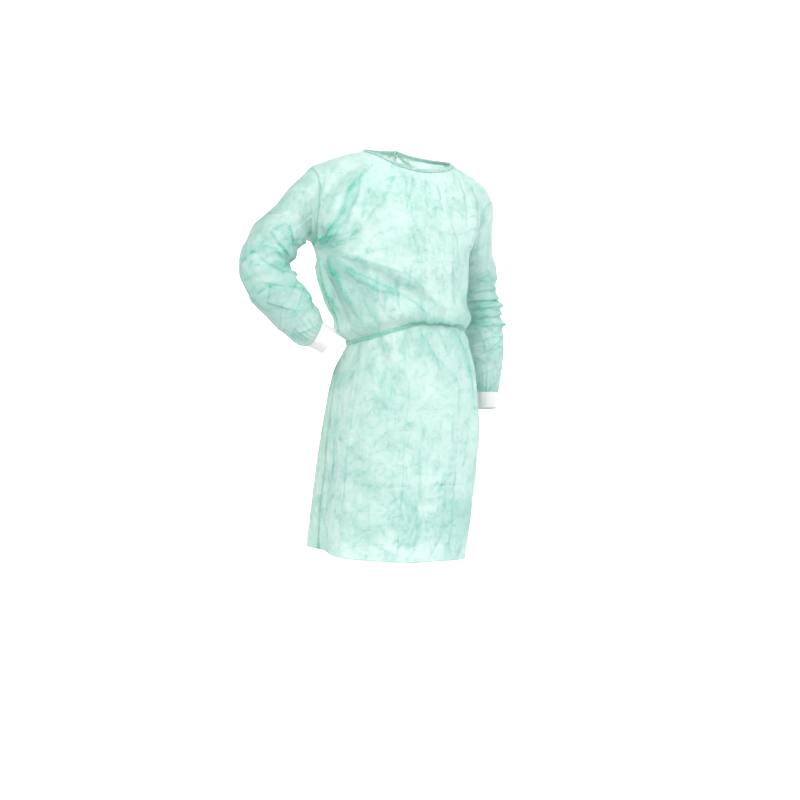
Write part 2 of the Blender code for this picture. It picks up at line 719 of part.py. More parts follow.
def make_cuff(side, name):
    """One cuff: a straight tube of rib knit, its ribs raised outside and its inside plain."""
    count = 2 * CUFF_RIBS
    turn = (np.arange(count) * 2 * np.pi / count)[None, :, None]
    middle = arm_line(side, 1.0)[0]
    _, along, outward, forward = (frames[-1] for frames in arm_frames(side))
    share = np.linspace(0, 1, CUFF_RINGS + 1)[:, None, None]
    spoke = outward * np.cos(turn) + forward * np.sin(turn)
    axis = middle + along * (SEAM_GAP + CUFF_LENGTH * share)
    inside = CUFF_RADIUS + (CUFF_END_RADIUS - CUFF_RADIUS) * share - KNIT
    rib = np.where(np.arange(count) % 2 == 0, RIB_HEIGHT, 0.0)[None, :, None]
    outer = axis + spoke * (inside + KNIT + rib)
    add_piece(name, *wall_mesh(outer, axis + spoke * inside, True), "rib_knit")


def round_columns(row):
    """The angles of the panels' columns in that row, in order round the body, one for each place:
    those of the right back that the left back covers are left out."""
    right = back_grid(RIGHT)[0][row][::-1]
    front = front_grid()[0][row]
    left = back_grid(LEFT)[0][row]
    right = right[right > left[-1] - 360.0 + SMALL_ANGLE]
    return np.concatenate([right, front[1:-1], left])


def add_tube(name, sections, closed, finish, caps=()):
    """A piece made by carrying a closed section along. A cap is four corners of an end section."""
    count, corners = sections.shape[:2]
    number = np.arange(count * corners).reshape(count, corners)
    near = [[number[0, i] for i in cap] for cap in caps]
    far = [[number[-1, i] for i in reversed(cap)] for cap in caps]
    number = np.concatenate([number, number[:, :1]], axis=1)
    if closed:
        number = np.concatenate([number, number[:1]])
    faces = np.stack([number[:-1, :-1], number[1:, :-1], number[1:, 1:], number[:-1, 1:]], -1)
    faces = faces.reshape(-1, 4).tolist()
    add_piece(name, sections.reshape(-1, 3), faces if closed else faces + near + far, finish)


def make_binding():
    """The strip folded over the neck edge: two legs and the fold between them."""
    angles = round_columns(-1)
    high = round_height(angles, "neck")
    low = high - binding_drop(angles)
    base = {"top": body_point(angles, high), "low": body_point(angles, low)}
    normal = {"top": body_normal(angles, high), "low": body_normal(angles, low)}
    rise = {"top": unit(base["top"] - base["low"]), "low": np.zeros(base["low"].shape)}
    outside, inside, fold = BINDING_GAP, -CLOTH - BINDING_GAP, SEAM_GAP
    corners = [
        ("low", outside + BINDING_CLOTH, 0.0),
        ("top", outside + BINDING_CLOTH, fold + BINDING_CLOTH),
        ("top", inside - BINDING_CLOTH, fold + BINDING_CLOTH),
        ("low", inside - BINDING_CLOTH, 0.0),
        ("low", inside, 0.0),
        ("top", inside, fold),
        ("top", outside, fold),
        ("low", outside, 0.0),
    ]
    sections = [base[at] + normal[at] * out + rise[at] * up for at, out, up in corners]
    caps = ((0, 1, 6, 7), (1, 2, 5, 6), (2, 3, 4, 5))
    add_tube("neck_binding", np.stack(sections, axis=1), False, "nonwoven", caps)


def make_belt():
    """The belt: a narrow folded strap all round the waist, lying on the panels."""
    angles = round_columns(ROWS_HEM_TO_BELT + 1)
    rows = [round_height(angles, "belt") + offset * BELT_WIDTH for offset in (-0.5, 0.0, 0.5)]
    outer = [laid(angles, row, LAY_GAP + BELT_THICK) for row in rows]
    inner = [laid(angles, row, LAY_GAP) for row in rows]
    add_tube("belt", np.stack(outer + inner[::-1], axis=1), True, "tie")


def make_knot(name, centre, axes, sizes):
    """A knot: a rounded pebble, in rings from one side to the other, closed by a point at each."""
    down = np.linspace(0, np.pi, KNOT_RINGS + 2)[1:-1, None]
    turn = np.arange(KNOT_COLUMNS) * 2 * np.pi / KNOT_COLUMNS
    waist = 1 - KNOT_WAIST * np.cos(down) ** 2
    local = [np.cos(down) + 0 * turn, np.sin(down) * waist * np.cos(turn), np.sin(down) * waist * np.sin(turn)]
    half = np.array(sizes) / 2
    ring_points = (np.stack(local, axis=-1) * half @ axes + centre).reshape(-1, 3)
    ends = np.array([centre + axes[0] * half[0], centre - axes[0] * half[0]])
    number = np.arange(KNOT_RINGS * KNOT_COLUMNS).reshape(KNOT_RINGS, KNOT_COLUMNS)
    number = np.concatenate([number, number[:, :1]], axis=1)
    faces = np.stack([number[:-1, :-1], number[1:, :-1], number[1:, 1:], number[:-1, 1:]], -1)
    first, last = len(ring_points), len(ring_points) + 1
    near = [(first, a, b) for a, b in zip(number[0, :-1], number[0, 1:])]
    far = [(last, b, a) for a, b in zip(number[-1, :-1], number[-1, 1:])]
    add_piece(name, np.concatenate([ring_points, ends]), near + far + faces.reshape(-1, 4).tolist(), "tie")


def squeezed(width, away):
    """The width of a tie that far from its knot, which squeezes it."""
    return width * (PINCH + (1 - PINCH) * ease(away / PINCH_REACH))


def lay_ribbon(name, angles, heights, outs, heading, width, closed):
    """A flat tie laid off the body along a path. Its width is square to a heading on the cloth,
    given as turns and rise, so a loop that doubles back keeps it."""
    path = body_point(angles, heights, outs)
    normal = across(ring_point, angles, heights, SMALL_ANGLE, SMALL_HEIGHT)
    ahead = body_point(angles + heading[0] * SMALL_ANGLE, heights + heading[1] * SMALL_HEIGHT, outs)
    aside = unit(np.cross(normal, unit(ahead - path)))
    step = np.roll(path, -1, 0) - np.roll(path, 1, 0) if closed else np.gradient(path, axis=0)
    face = unit(np.cross(unit(step), aside))
    half, thick = width[:, None] / 2, TIE_CLOTH / 2
    corners = [(-half, -thick), (half, -thick), (half, thick), (-half, thick)]
    sections = np.stack([path + aside * a + face * t for a, t in corners], axis=1)
    add_tube(name, sections, closed, "tie", ((0, 1, 2, 3),))


def make_bow(tie):
    """A bow of limp ties at the middle of the back: a knot, two flat loops and two hanging tails."""
    name, width, height = tie["name"], tie["width"], tie["height"]
    half = np.array(tie["knot"]) / 2
    out = tie["seat"] + LAY_GAP + half[2]
    centre = body_point(180.0, height, out)
    normal = across(ring_point, np.float64(180.0), np.float64(height), SMALL_ANGLE, SMALL_HEIGHT)
    aside = unit(np.cross(normal, [0.0, 0.0, 1.0]))
    make_knot(f"{name}_knot", centre, np.array([aside, np.cross(aside, normal), normal]), tie["knot"])
    degrees = 1 / np.linalg.norm(body_point(181.0, height, out) - centre)
    for side, word in ((RIGHT, "right"), (LEFT, "left")):
        spread, drop = np.cos(tie["slant"]), np.sin(tie["slant"])
        start = 1 / np.hypot(spread / half[0], drop / half[1]) + TIE_CLOTH / 2 + SEAM_GAP
        turn = np.arange(LOOP_POINTS) * 2 * np.pi / LOOP_POINTS
        reach = start + tie["loop"] * (1 - np.cos(turn)) / 2
        lift = np.sign(np.sin(turn)) * np.abs(np.sin(turn)) ** LOOP_ROUND * tie["open"] / 2
        angles, heights = 180.0 - side * spread * reach * degrees, height - drop * reach
        heading = (-side * spread * degrees * SMALL_HEIGHT / SMALL_ANGLE, -drop)
        widths = squeezed(width, reach - start)
        lay_ribbon(f"{name}_loop_{word}", angles, heights, out + lift, heading, widths, True)
        fall = np.linspace(0, 1, TAIL_POINTS)
        widths = squeezed(width, tie["tail"] * fall)
        wave = side * TAIL_WAVE * np.sin(TAIL_TURNS * np.pi * fall)
        sway = widths / 2 + SEAM_GAP + TAIL_SWAY * tie["tail"] * ease(fall) + wave
        angles = 180.0 - side * sway * degrees
        top = height - half[1] - 2 * SEAM_GAP
        heights = top - tie["tail"] * (1 - side * TAIL_UNEVEN) * fall
        outs = TAIL_REST + (out - TAIL_REST) * (1 - ease(fall / TAIL_EASE))
        lay_ribbon(f"{name}_tail_{word}", angles, heights, outs, (0.0, -1.0), widths, False)


def main():
    """Clears the scene and makes every piece."""
    for old in list(bpy.data.objects):
        bpy.data.objects.remove(old)
    make_front()
    make_back(RIGHT, "back_right")
    make_back(LEFT, "back_left")
    for side, word in ((RIGHT, "right"), (LEFT, "left")):
        make_sleeve(side, f"sleeve_{word}")
        make_cuff(side, f"cuff_{word}")
    make_binding()
    make_belt()
    for tie in TIES:
        make_bow(tie)


main()
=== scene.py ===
# %% [markdown]
# # A disposable gown, worn and hollow
#
# This lesson dresses the imported model of a disposable gown. The gown is thin spun-bonded
# cloth, mint green and a little see-through. It was folded flat in a packet, then pulled on
# and tied, so it has three kinds of relief: large folds where it is pulled, straight creases
# left by the packet, and a fine papery crumple all over.
#
# The imported model has the true form in thick walls. Each panel gets a thin shell here, on
# the same surface, with the finer relief added. We load the frame first. Nothing in this
# file may make the gown larger.

import json

import bmesh
import bpy
import numpy as np
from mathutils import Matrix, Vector

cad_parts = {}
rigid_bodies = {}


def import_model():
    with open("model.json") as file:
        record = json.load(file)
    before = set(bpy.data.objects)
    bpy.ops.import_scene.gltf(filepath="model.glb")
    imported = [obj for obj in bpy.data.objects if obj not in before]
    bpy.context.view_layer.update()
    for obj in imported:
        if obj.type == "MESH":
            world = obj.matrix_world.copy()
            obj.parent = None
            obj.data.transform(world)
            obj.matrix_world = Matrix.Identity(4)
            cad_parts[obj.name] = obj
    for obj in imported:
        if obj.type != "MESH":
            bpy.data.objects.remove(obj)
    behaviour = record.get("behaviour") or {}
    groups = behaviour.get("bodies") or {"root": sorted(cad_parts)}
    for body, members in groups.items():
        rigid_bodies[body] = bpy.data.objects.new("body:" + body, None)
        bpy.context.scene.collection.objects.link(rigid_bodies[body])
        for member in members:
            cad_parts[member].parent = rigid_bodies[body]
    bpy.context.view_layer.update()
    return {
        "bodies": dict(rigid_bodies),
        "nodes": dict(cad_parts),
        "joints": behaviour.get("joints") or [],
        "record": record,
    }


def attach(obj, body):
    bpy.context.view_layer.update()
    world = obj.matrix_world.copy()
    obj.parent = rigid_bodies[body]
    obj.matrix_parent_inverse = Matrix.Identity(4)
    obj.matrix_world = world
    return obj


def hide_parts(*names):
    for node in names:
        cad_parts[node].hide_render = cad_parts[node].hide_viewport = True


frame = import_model()
print("nodes:", ", ".join(sorted(frame["nodes"])))

# %% [markdown]
# ## Curves that the shapes are made of
#
# Every measure that changes along the gown is a short table of named columns, read through
# one smooth curve. The curve never overshoots its table, so a ring that is measured to be
# widest stays the widest.

# %% Small helpers for curves
def table(names, rows):
    """The columns of a short table, by name."""
    return dict(zip(names.split(), np.array(rows, float).T))


def smooth(x, knots, values):
    """Cubic pieces through the knots, each with the harmonic mean of the slopes beside it."""
    x = np.clip(x, knots[0], knots[-1])
    step = np.diff(knots)
    rise = np.diff(values) / step
    same = rise[:-1] * rise[1:] > 0
    total = np.where(same, rise[:-1] + rise[1:], 1.0)
    inner = np.where(same, 2 * rise[:-1] * rise[1:] / total, 0.0)
    slope = np.concatenate([[rise[0]], inner, [rise[-1]]])
    i = np.clip(np.searchsorted(knots, x, side="right") - 1, 0, len(step) - 1)
    t = (x - knots[i]) / step[i]
    return (
        values[i] * (1 + 2 * t) * (1 - t) ** 2
        + slope[i] * step[i] * t * (1 - t) ** 2
        + values[i + 1] * t**2 * (3 - 2 * t)
        + slope[i + 1] * step[i] * t**2 * (t - 1)
    )


def unit(vectors):
    """Each vector divided by its length."""
    return vectors / np.maximum(np.linalg.norm(vectors, axis=-1, keepdims=True), 1e-12)


def ease(t):
    """3 t squared less 2 t cubed: from 0 to 1 with level ends, and held outside."""
    t = np.clip(t, 0.0, 1.0)
    return t * t * (3 - 2 * t)


def wrap(angle):
    """An angle brought to the range from -180 to 180 degrees."""
    return (np.asarray(angle, float) + 180.0) % 360.0 - 180.0


def walked_along(points):
    """The length walked to each of the points in a row: the running sum of its steps."""
    steps = np.linalg.norm(np.diff(points, axis=0), axis=1)
    return np.concatenate([[0.0], np.cumsum(steps)])


# %% [markdown]
# ## The body of the gown
#
# A worn gown is a tube: wide at the shoulders, drawn in at the belt, flared at the hem. It
# could be a cylinder that is sculpted by hand. We stack rounded rings instead, because then
# any point has two plain numbers, its angle round the body and its height, and the seams, the
# belt and every fold can be given in them. Angle 0 is the middle of the front, and the gown's
# left side is at +90. These are the driving sizes of the model.

# %% The driving sizes of the body
RIGHT, LEFT = -1, 1
SIDE_SEAM_ANGLE = 95.0
SHOULDER_ANGLE = 90.0
SEAM_GAP = 0.0003

BODY = table(
    "height middle_x middle_y right_x left_x front_y back_y power",
    [
        (-1.070, -0.046, 0.030, -0.248, 0.136, -0.142, 0.196, 2.3),
        (-1.000, -0.042, 0.030, -0.245, 0.146, -0.146, 0.193, 2.3),
        (-0.910, -0.036, 0.025, -0.240, 0.162, -0.150, 0.188, 2.3),
        (-0.840, -0.032, 0.020, -0.233, 0.170, -0.153, 0.182, 2.4),
        (-0.750, -0.028, 0.020, -0.224, 0.172, -0.152, 0.173, 2.5),
        (-0.650, -0.018, 0.015, -0.211, 0.170, -0.147, 0.155, 2.6),
        (-0.580, -0.012, 0.015, -0.195, 0.166, -0.138, 0.142, 2.6),
        (-0.500, -0.016, 0.015, -0.167, 0.150, -0.128, 0.128, 2.6),
        (-0.455, -0.022, 0.015, -0.178, 0.142, -0.130, 0.128, 2.6),
        (-0.400, -0.032, 0.015, -0.211, 0.140, -0.140, 0.138, 2.6),
        (-0.300, -0.036, 0.020, -0.239, 0.141, -0.148, 0.150, 2.6),
        (-0.275, -0.033, 0.020, -0.246, 0.147, -0.148, 0.150, 2.5),
        (-0.245, -0.028, 0.020, -0.261, 0.168, -0.146, 0.149, 2.4),
        (-0.190, -0.018, 0.022, -0.288, 0.210, -0.138, 0.145, 2.3),
        (-0.134, -0.012, 0.022, -0.302, 0.238, -0.122, 0.136, 2.1),
        (-0.107, -0.010, 0.022, -0.300, 0.229, -0.112, 0.130, 2.0),
        (-0.080, -0.008, 0.022, -0.290, 0.206, -0.101, 0.122, 2.0),
        (-0.056, -0.005, 0.022, -0.270, 0.166, -0.089, 0.113, 2.0),
        (-0.025, -0.002, 0.021, -0.192, 0.102, -0.073, 0.100, 2.0),
        (0.000, 0.000, 0.020, -0.109, 0.080, -0.058, 0.086, 2.0),
        (0.020, 0.000, 0.020, -0.082, 0.068, -0.048, 0.078, 2.0),
    ],
)

ROUND = table(
    "angle neck belt hem",
    [
        (-180, 0.006, -0.484, -1.034),
        (-135, 0.003, -0.494, -1.024),
        (-95, -0.002, -0.500, -1.028),
        (-60, -0.022, -0.491, -1.044),
        (-30, -0.052, -0.470, -1.052),
        (0, -0.062, -0.453, -1.056),
        (30, -0.055, -0.456, -1.056),
        (60, -0.034, -0.468, -1.054),
        (95, -0.021, -0.477, -1.050),
        (135, -0.008, -0.480, -1.044),
        (180, 0.006, -0.484, -1.034),
    ],
)


def round_height(angle, name):
    """The height of the neck edge, the belt or the hem at an angle."""
    return smooth(wrap(angle), ROUND["angle"], ROUND[name])


def ring_point(angle, height):
    """A point of the plain body. The ring's reach at an angle is
    (|sine / side|^power + |cosine / depth|^power)^(-1 / power), and side and depth differ
    left from right and front from back."""
    side_sine, front_cosine = np.sin(np.radians(angle)), np.cos(np.radians(angle))
    at = {name: smooth(height, BODY["height"], BODY[name]) for name in BODY}
    side = np.where(side_sine > 0, at["left_x"] - at["middle_x"], at["middle_x"] - at["right_x"])
    deep = np.where(front_cosine > 0, at["middle_y"] - at["front_y"], at["back_y"] - at["middle_y"])
    power = at["power"]
    total = np.abs(side_sine / side) ** power + np.abs(front_cosine / deep) ** power
    reach = total ** (-1 / power)
    x = at["middle_x"] + reach * side_sine
    y = at["middle_y"] - reach * front_cosine
    return np.stack(np.broadcast_arrays(x, y, height), axis=-1)


print("belt at the front is", round(float(round_height(0, "belt")), 3), "m below the neck")

# %% [markdown]
# ## Large folds
#
# The right sleeve is bent, so the cloth is pulled between the right armhole, the neck
# and the left of the belt, and folds fan out from the armhole. The belt draws the body in, and
# the cloth above it puffs out over it. The skirt below hangs in shallow flutes.
#
# A fold is a soft straight line on the cloth. Its strength is a bell across the line and
# fades at both ends. The surface moves along its own direction by depth times strength.
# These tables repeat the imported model's, so the shells lie on its walls.

# %% The large folds of the body
ROUND_RADIUS = 0.17
CINCH_DEPTH, CINCH_WIDTH = 0.007, 0.016
PUFF_HEIGHT, PUFF_WIDTH = 0.013, 0.024

BODY_FOLDS = table(
    "angle_1 height_1 angle_2 height_2 depth width",
    [
        (-73, -0.235, -58, -0.050, 0.014, 0.016),
        (-66, -0.225, -40, -0.090, -0.009, 0.018),
        (-73, -0.250, -24, -0.150, 0.009, 0.016),
        (-72, -0.262, 30, -0.420, 0.013, 0.018),
        (-66, -0.285, 20, -0.430, -0.010, 0.020),
        (-76, -0.275, -20, -0.440, 0.008, 0.018),
        (-80, -0.280, -52, -0.470, 0.008, 0.017),
        (-88, -0.285, -78, -0.480, -0.008, 0.017),
        (-98, -0.290, -100, -0.500, 0.012, 0.018),
        (62, -0.200, 56, -0.430, -0.008, 0.016),
        (48, -0.120, 50, -0.400, 0.007, 0.020),
        (150, -0.120, 140, -0.460, 0.012, 0.020),
        (-150, -0.100, -135, -0.470, 0.013, 0.020),
        (-50, -0.500, -30, -0.640, -0.010, 0.016),
        (-20, -0.470, -2, -0.640, -0.008, 0.018),
        (46, -0.480, 52, -0.800, 0.010, 0.018),
    ],
)

FLUTES = table(
    "angle depth width top",
    [
        (-112, 0.016, 9, -0.56),
        (-86, -0.012, 9, -0.58),
        (-60, 0.007, 12, -0.62),
        (-12, 0.006, 12, -0.60),
        (20, -0.006, 12, -0.62),
        (52, 0.009, 11, -0.58),
        (84, -0.010, 10, -0.56),
        (112, 0.014, 11, -0.55),
        (142, -0.012, 10, -0.54),
        (165, 0.010, 9, -0.54),
        (-136, -0.014, 9, -0.54),
        (-158, 0.012, 9, -0.54),
    ],
)


def crease(u, v, u1, v1, u2, v2, width):
    """A bell of the distance aside from the line, times an ease in and out at its two ends."""
    du, dv = u2 - u1, v2 - v1
    length = np.hypot(du, dv)
    along = ((u - u1) * du + (v - v1) * dv) / length**2
    aside = ((u - u1) * dv - (v - v1) * du) / length
    fade = ease((along + 0.08) / 0.25) * ease((1.08 - along) / 0.30)
    return np.exp(-((aside / width) ** 2)) * fade


def body_relief(angle, height):
    """The sum of the folds, the flutes, the belt's pull and the puff above it."""
    angle = wrap(angle)
    relief = np.zeros(np.broadcast(angle, height).shape)
    u = np.radians(angle) * ROUND_RADIUS
    for a1, h1, a2, h2, depth, width in zip(*BODY_FOLDS.values()):
        u1, u2 = np.radians(a1) * ROUND_RADIUS, np.radians(a2) * ROUND_RADIUS
        relief = relief + depth * crease(u, height, u1, h1, u2, h2, width)
    for a, depth, width, top in zip(*FLUTES.values()):
        grown = ease((top - height) / (top - BODY["height"][0]))
        relief = relief + depth * grown * np.exp(-((wrap(angle - a) / width) ** 2))
    above = height - round_height(angle, "belt")
    relief = relief - CINCH_DEPTH * np.exp(-((above / CINCH_WIDTH) ** 2))
    puff = np.exp(-(((above - 1.5 * PUFF_WIDTH) / PUFF_WIDTH) ** 2))
    return relief + PUFF_HEIGHT * puff


# %% [markdown]
# ## Fine folds, drawn one by one
#
# The pull from the armhole also makes narrow pleats. Thin bonded cloth folds like paper: one
# side of a pleat is steep, and the other lies over it and slopes away. Where it lies over,
# the cloth is doubled, so a band of deeper colour starts sharply at the crest and fades
# across the slope. They are drawn as bent lines, each a few places on the cloth. The slope
# is to the right of a line that is drawn upwards, and below one that is drawn to the right.

# %% Fine folds as bent lines
# Each fold: height, width of the steep side, width of the band, tint, then angles and heights
FINE_FOLDS = [
    (0.0054, 0.0040, 0.026, 1.15, [
        (-90, -0.250), (-76, -0.238), (-68, -0.216), (-64, -0.182), (-62, -0.146),
        (-62, -0.120), (-61, -0.096), (-60, -0.060),
    ]),
    (0.0040, 0.0034, 0.008, 0.6, [
        (-59, -0.050), (-60, -0.084), (-59, -0.118), (-59, -0.150), (-61, -0.192),
        (-64, -0.220), (-68, -0.240), (-86, -0.252),
    ]),
    (0.0040, 0.0040, 0.010, 0.7, [
        (-72, -0.256), (-62, -0.246), (-55, -0.232), (-50, -0.212), (-46, -0.182),
        (-42, -0.154), (-40, -0.120),
    ]),
    (0.0030, 0.0036, 0.006, 0.6, [(-76, -0.258), (-62, -0.258), (-56, -0.244), (-48, -0.226)]),
    (0.0024, 0.0036, 0.006, 0.4, [(-74, -0.264), (-60, -0.270), (-46, -0.268), (-34, -0.256)]),
    (0.0042, 0.0036, 0.014, 1.0, [
        (-76, -0.268), (-58, -0.288), (-44, -0.306), (-32, -0.320), (-23, -0.328),
        (-12, -0.344), (-1, -0.372), (12, -0.404), (19, -0.424),
    ]),
    (0.0060, 0.0044, 0.030, 1.05, [
        (-78, -0.272), (-64, -0.304), (-56, -0.328), (-47, -0.346), (-37, -0.364),
        (-24, -0.378), (-13, -0.404), (-2, -0.426), (14, -0.442), (44, -0.456),
    ]),
    (0.0030, 0.0040, 0.010, 0.6, [
        (-20, -0.388), (-28, -0.384), (-39, -0.376), (-48, -0.358), (-57, -0.338),
        (-70, -0.292),
    ]),
    (0.0024, 0.0036, 0.006, 0.4, [(-30, -0.338), (-16, -0.362), (-4, -0.392), (6, -0.414)]),
    (0.0056, 0.0044, 0.036, 1.10, [
        (-80, -0.276), (-74, -0.320), (-70, -0.352), (-67, -0.384), (-62, -0.408),
        (-57, -0.436), (-52, -0.474),
    ]),
    (0.0044, 0.0040, 0.018, 1.0, [
        (-70, -0.462), (-76, -0.424), (-80, -0.390), (-86, -0.350), (-90, -0.308),
        (-91, -0.266),
    ]),
    (0.0038, 0.0040, 0.012, 1.0, [
        (-100, -0.280), (-98, -0.330), (-93, -0.386), (-86, -0.440), (-80, -0.478),
    ]),
    (0.0030, 0.0040, 0.008, 0.5, [(-108, -0.290), (-107, -0.360), (-103, -0.430), (-98, -0.480)]),
    (0.0030, 0.0050, 0.020, 0.5, [(-44, -0.350), (-43, -0.398), (-46, -0.432), (-44, -0.466)]),
    (0.0026, 0.0040, 0.012, 0.4, [(-30, -0.396), (-32, -0.430), (-30, -0.458)]),
    (0.0026, 0.0036, 0.008, 0.4, [(-14, -0.420), (-17, -0.440), (-16, -0.456)]),
    (0.0040, 0.0040, 0.016, 1.0, [(-47, -0.478), (-40, -0.514), (-36, -0.554)]),
    (0.0028, 0.0040, 0.007, 0.5, [(-58, -0.494), (-52, -0.540), (-50, -0.600)]),
    (0.0040, 0.0040, 0.016, 1.0, [(-10, -0.464), (-1, -0.504), (8, -0.546), (10, -0.580)]),
    (0.0024, 0.0036, 0.006, 0.4, [(-24, -0.470), (-21, -0.510), (-21, -0.540)]),
    (0.0026, 0.0040, 0.010, 0.5, [(10, -0.466), (18, -0.500), (22, -0.560)]),
    (0.0040, 0.0040, 0.016, 1.1, [(32, -0.470), (42, -0.512), (43, -0.604), (46, -0.700)]),
    (0.0026, 0.0040, 0.010, 0.4, [(-36, -0.572), (-36, -0.640), (-32, -0.704)]),
    (0.0024, 0.0044, 0.012, 0.4, [(-50, -0.660), (-51, -0.730), (-49, -0.820)]),
    (0.0026, 0.0044, 0.012, 0.4, [(21, -0.700), (26, -0.806), (28, -0.934)]),
    (0.0026, 0.0044, 0.012, 0.4, [(-10, -0.760), (-6, -0.860), (-9, -0.960)]),
    (0.0026, 0.0044, 0.010, 0.4, [(-66, -0.540), (-68, -0.680), (-64, -0.790)]),
    (0.0036, 0.0044, 0.010, 0.7, [(-84, -0.540), (-80, -0.724), (-79, -0.860), (-78, -0.976)]),
    (0.0034, 0.0036, 0.008, 0.7, [
        (56, -0.080), (52, -0.118), (48, -0.160), (47, -0.195), (48, -0.232), (53, -0.262),
    ]),
    (0.0030, 0.0040, 0.012, 0.5, [(44, -0.068), (40, -0.120), (37, -0.176), (38, -0.230)]),
    (0.0026, 0.0036, 0.006, 0.5, [(58, -0.210), (49, -0.206), (41, -0.216)]),
    (0.0030, 0.0036, 0.006, 0.6, [(60, -0.266), (50, -0.250), (40, -0.256)]),
    (0.0026, 0.0040, 0.012, 0.4, [(19, -0.192), (29, -0.236), (36, -0.298), (38, -0.350)]),
    (0.0026, 0.0040, 0.010, 0.5, [(26, -0.300), (32, -0.362), (29, -0.424)]),
    (0.0030, 0.0036, 0.008, 0.6, [
        (66, -0.276), (56, -0.310), (51, -0.360), (50, -0.410), (54, -0.452),
    ]),
    (0.0026, 0.0036, 0.008, 0.4, [(74, -0.280), (68, -0.330), (66, -0.400), (70, -0.450)]),
    (0.0022, 0.0036, 0.006, 0.4, [(-36, -0.080), (-40, -0.126), (-42, -0.162), (-45, -0.200)]),
    (0.0020, 0.0036, 0.008, 0.3, [(-24, -0.090), (-24, -0.150), (-20, -0.210)]),
    (0.0020, 0.0036, 0.008, 0.3, [(14, -0.090), (12, -0.150), (15, -0.210)]),
    (0.0028, 0.0040, 0.010, 0.4, [(92, -0.300), (88, -0.360), (84, -0.440)]),
    (0.0040, 0.0040, 0.012, 0.8, [(126, -0.262), (140, -0.232), (152, -0.184), (158, -0.120)]),
    (0.0030, 0.0040, 0.008, 0.5, [(128, -0.272), (146, -0.262), (164, -0.240)]),
    (0.0040, 0.0040, 0.012, 0.8, [(126, -0.280), (136, -0.340), (140, -0.420), (138, -0.466)]),
    (0.0034, 0.0040, 0.010, 0.6, [(128, -0.276), (148, -0.320), (164, -0.380), (176, -0.440)]),
    (0.0030, 0.0040, 0.010, 0.5, [(112, -0.300), (116, -0.370), (120, -0.450)]),
    (0.0042, 0.0040, 0.012, 0.8, [(-122, -0.258), (-138, -0.228), (-150, -0.174), (-156, -0.110)]),
    (0.0030, 0.0040, 0.008, 0.5, [(-124, -0.268), (-142, -0.262), (-158, -0.246)]),
    (0.0042, 0.0040, 0.014, 0.8, [(-160, -0.452), (-150, -0.400), (-134, -0.340), (-120, -0.280)]),
    (0.0034, 0.0040, 0.010, 0.6, [(-128, -0.470), (-120, -0.370), (-112, -0.290)]),
    (0.0030, 0.0044, 0.012, 0.5, [(-128, -0.510), (-126, -0.600), (-130, -0.700)]),
    (0.0030, 0.0044, 0.012, 0.5, [(128, -0.500), (132, -0.600), (130, -0.690)]),
    (0.0030, 0.0044, 0.012, 0.5, [(152, -0.510), (150, -0.620), (155, -0.760)]),
    (0.0030, 0.0044, 0.012, 0.5, [(-150, -0.510), (-152, -0.640), (-146, -0.780)]),
    (0.0034, 0.0044, 0.010, 0.5, [(-104, -0.520), (-106, -0.640), (-104, -0.800)]),
    (0.0028, 0.0044, 0.012, 0.4, [(66, -0.500), (68, -0.640), (66, -0.860)]),
    (0.0028, 0.0044, 0.012, 0.4, [(92, -0.500), (96, -0.660), (94, -0.840)]),
]

# The packet's creases: they run right across, so they only name one angle or one height
PACK_DEPTH, PACK_FLANK = 0.0011, 0.0045
PACK_TINT, PACK_LINE, PACK_FADE, PACK_TURN = 0.35, 0.0022, 0.05, 12
# Upright ones: angle, top and bottom. Level ones: height, first and last angle
PACK_UPRIGHT = [
    (-21.0, -0.560, -1.060),
    (-3.0, -0.070, -0.440),
    (-64.0, -0.560, -1.050),
    (28.0, -0.560, -1.050),
]
PACK_LEVEL = [
    (-0.862, -60.0, 45.0),
    (-0.670, -50.0, 60.0),
    (-0.300, -30.0, 40.0),
    (-0.862, 120.0, 240.0),
]

# A pleat's parts, as shares of its flank or band: the hollow before it, the line at its foot,
# the slope of the relief and the doubled cloth that fades
HOLLOW_AT, HOLLOW_WIDTH, HOLLOW_SHARE = 1.8, 1.2, 0.4
LINE_AT, LINE_WIDTH, PLEAT_TINT = 0.6, 0.9, 0.46
SLOPE_SHARE, DOUBLED_SHARE = 0.6, 0.7
# A fold's reach aside, its fades at the two ends, and how it wanders and wavers
FOLD_REACH, FOLD_IN, FOLD_OUT = 0.06, 0.12, 0.4
FOLD_WANDER, FOLD_BENDS, FOLD_WAVER, WAVERS = 0.0012, 23, 0.12, 31


def tent(aside, flank):
    """A rounded tent: e to the minus the distance in flanks, with the tip taken off."""
    return np.exp(-(np.sqrt((aside / flank) ** 2 + 0.12) - 0.346))


def pleat(aside, high, flank, band, dark):
    """Relief and tint of a pleat across its line. It rises from a hollow over one flank, and
    falls away over the band. The tint is a thin line at the foot and the fading band."""
    rise = ease(aside / flank + 1)
    past = np.maximum(aside, 0)
    slope = np.exp(-past / (SLOPE_SHARE * band + flank))
    hollow = np.exp(-(((aside + HOLLOW_AT * flank) / (HOLLOW_WIDTH * flank)) ** 2))
    line = np.exp(-(((aside + LINE_AT * flank) / (LINE_WIDTH * flank)) ** 2))
    doubled = rise * np.exp(-past / (DOUBLED_SHARE * band))
    tint = dark * (PLEAT_TINT * line + PLEAT_TINT * doubled)
    return high * (rise * slope - HOLLOW_SHARE * hollow), tint


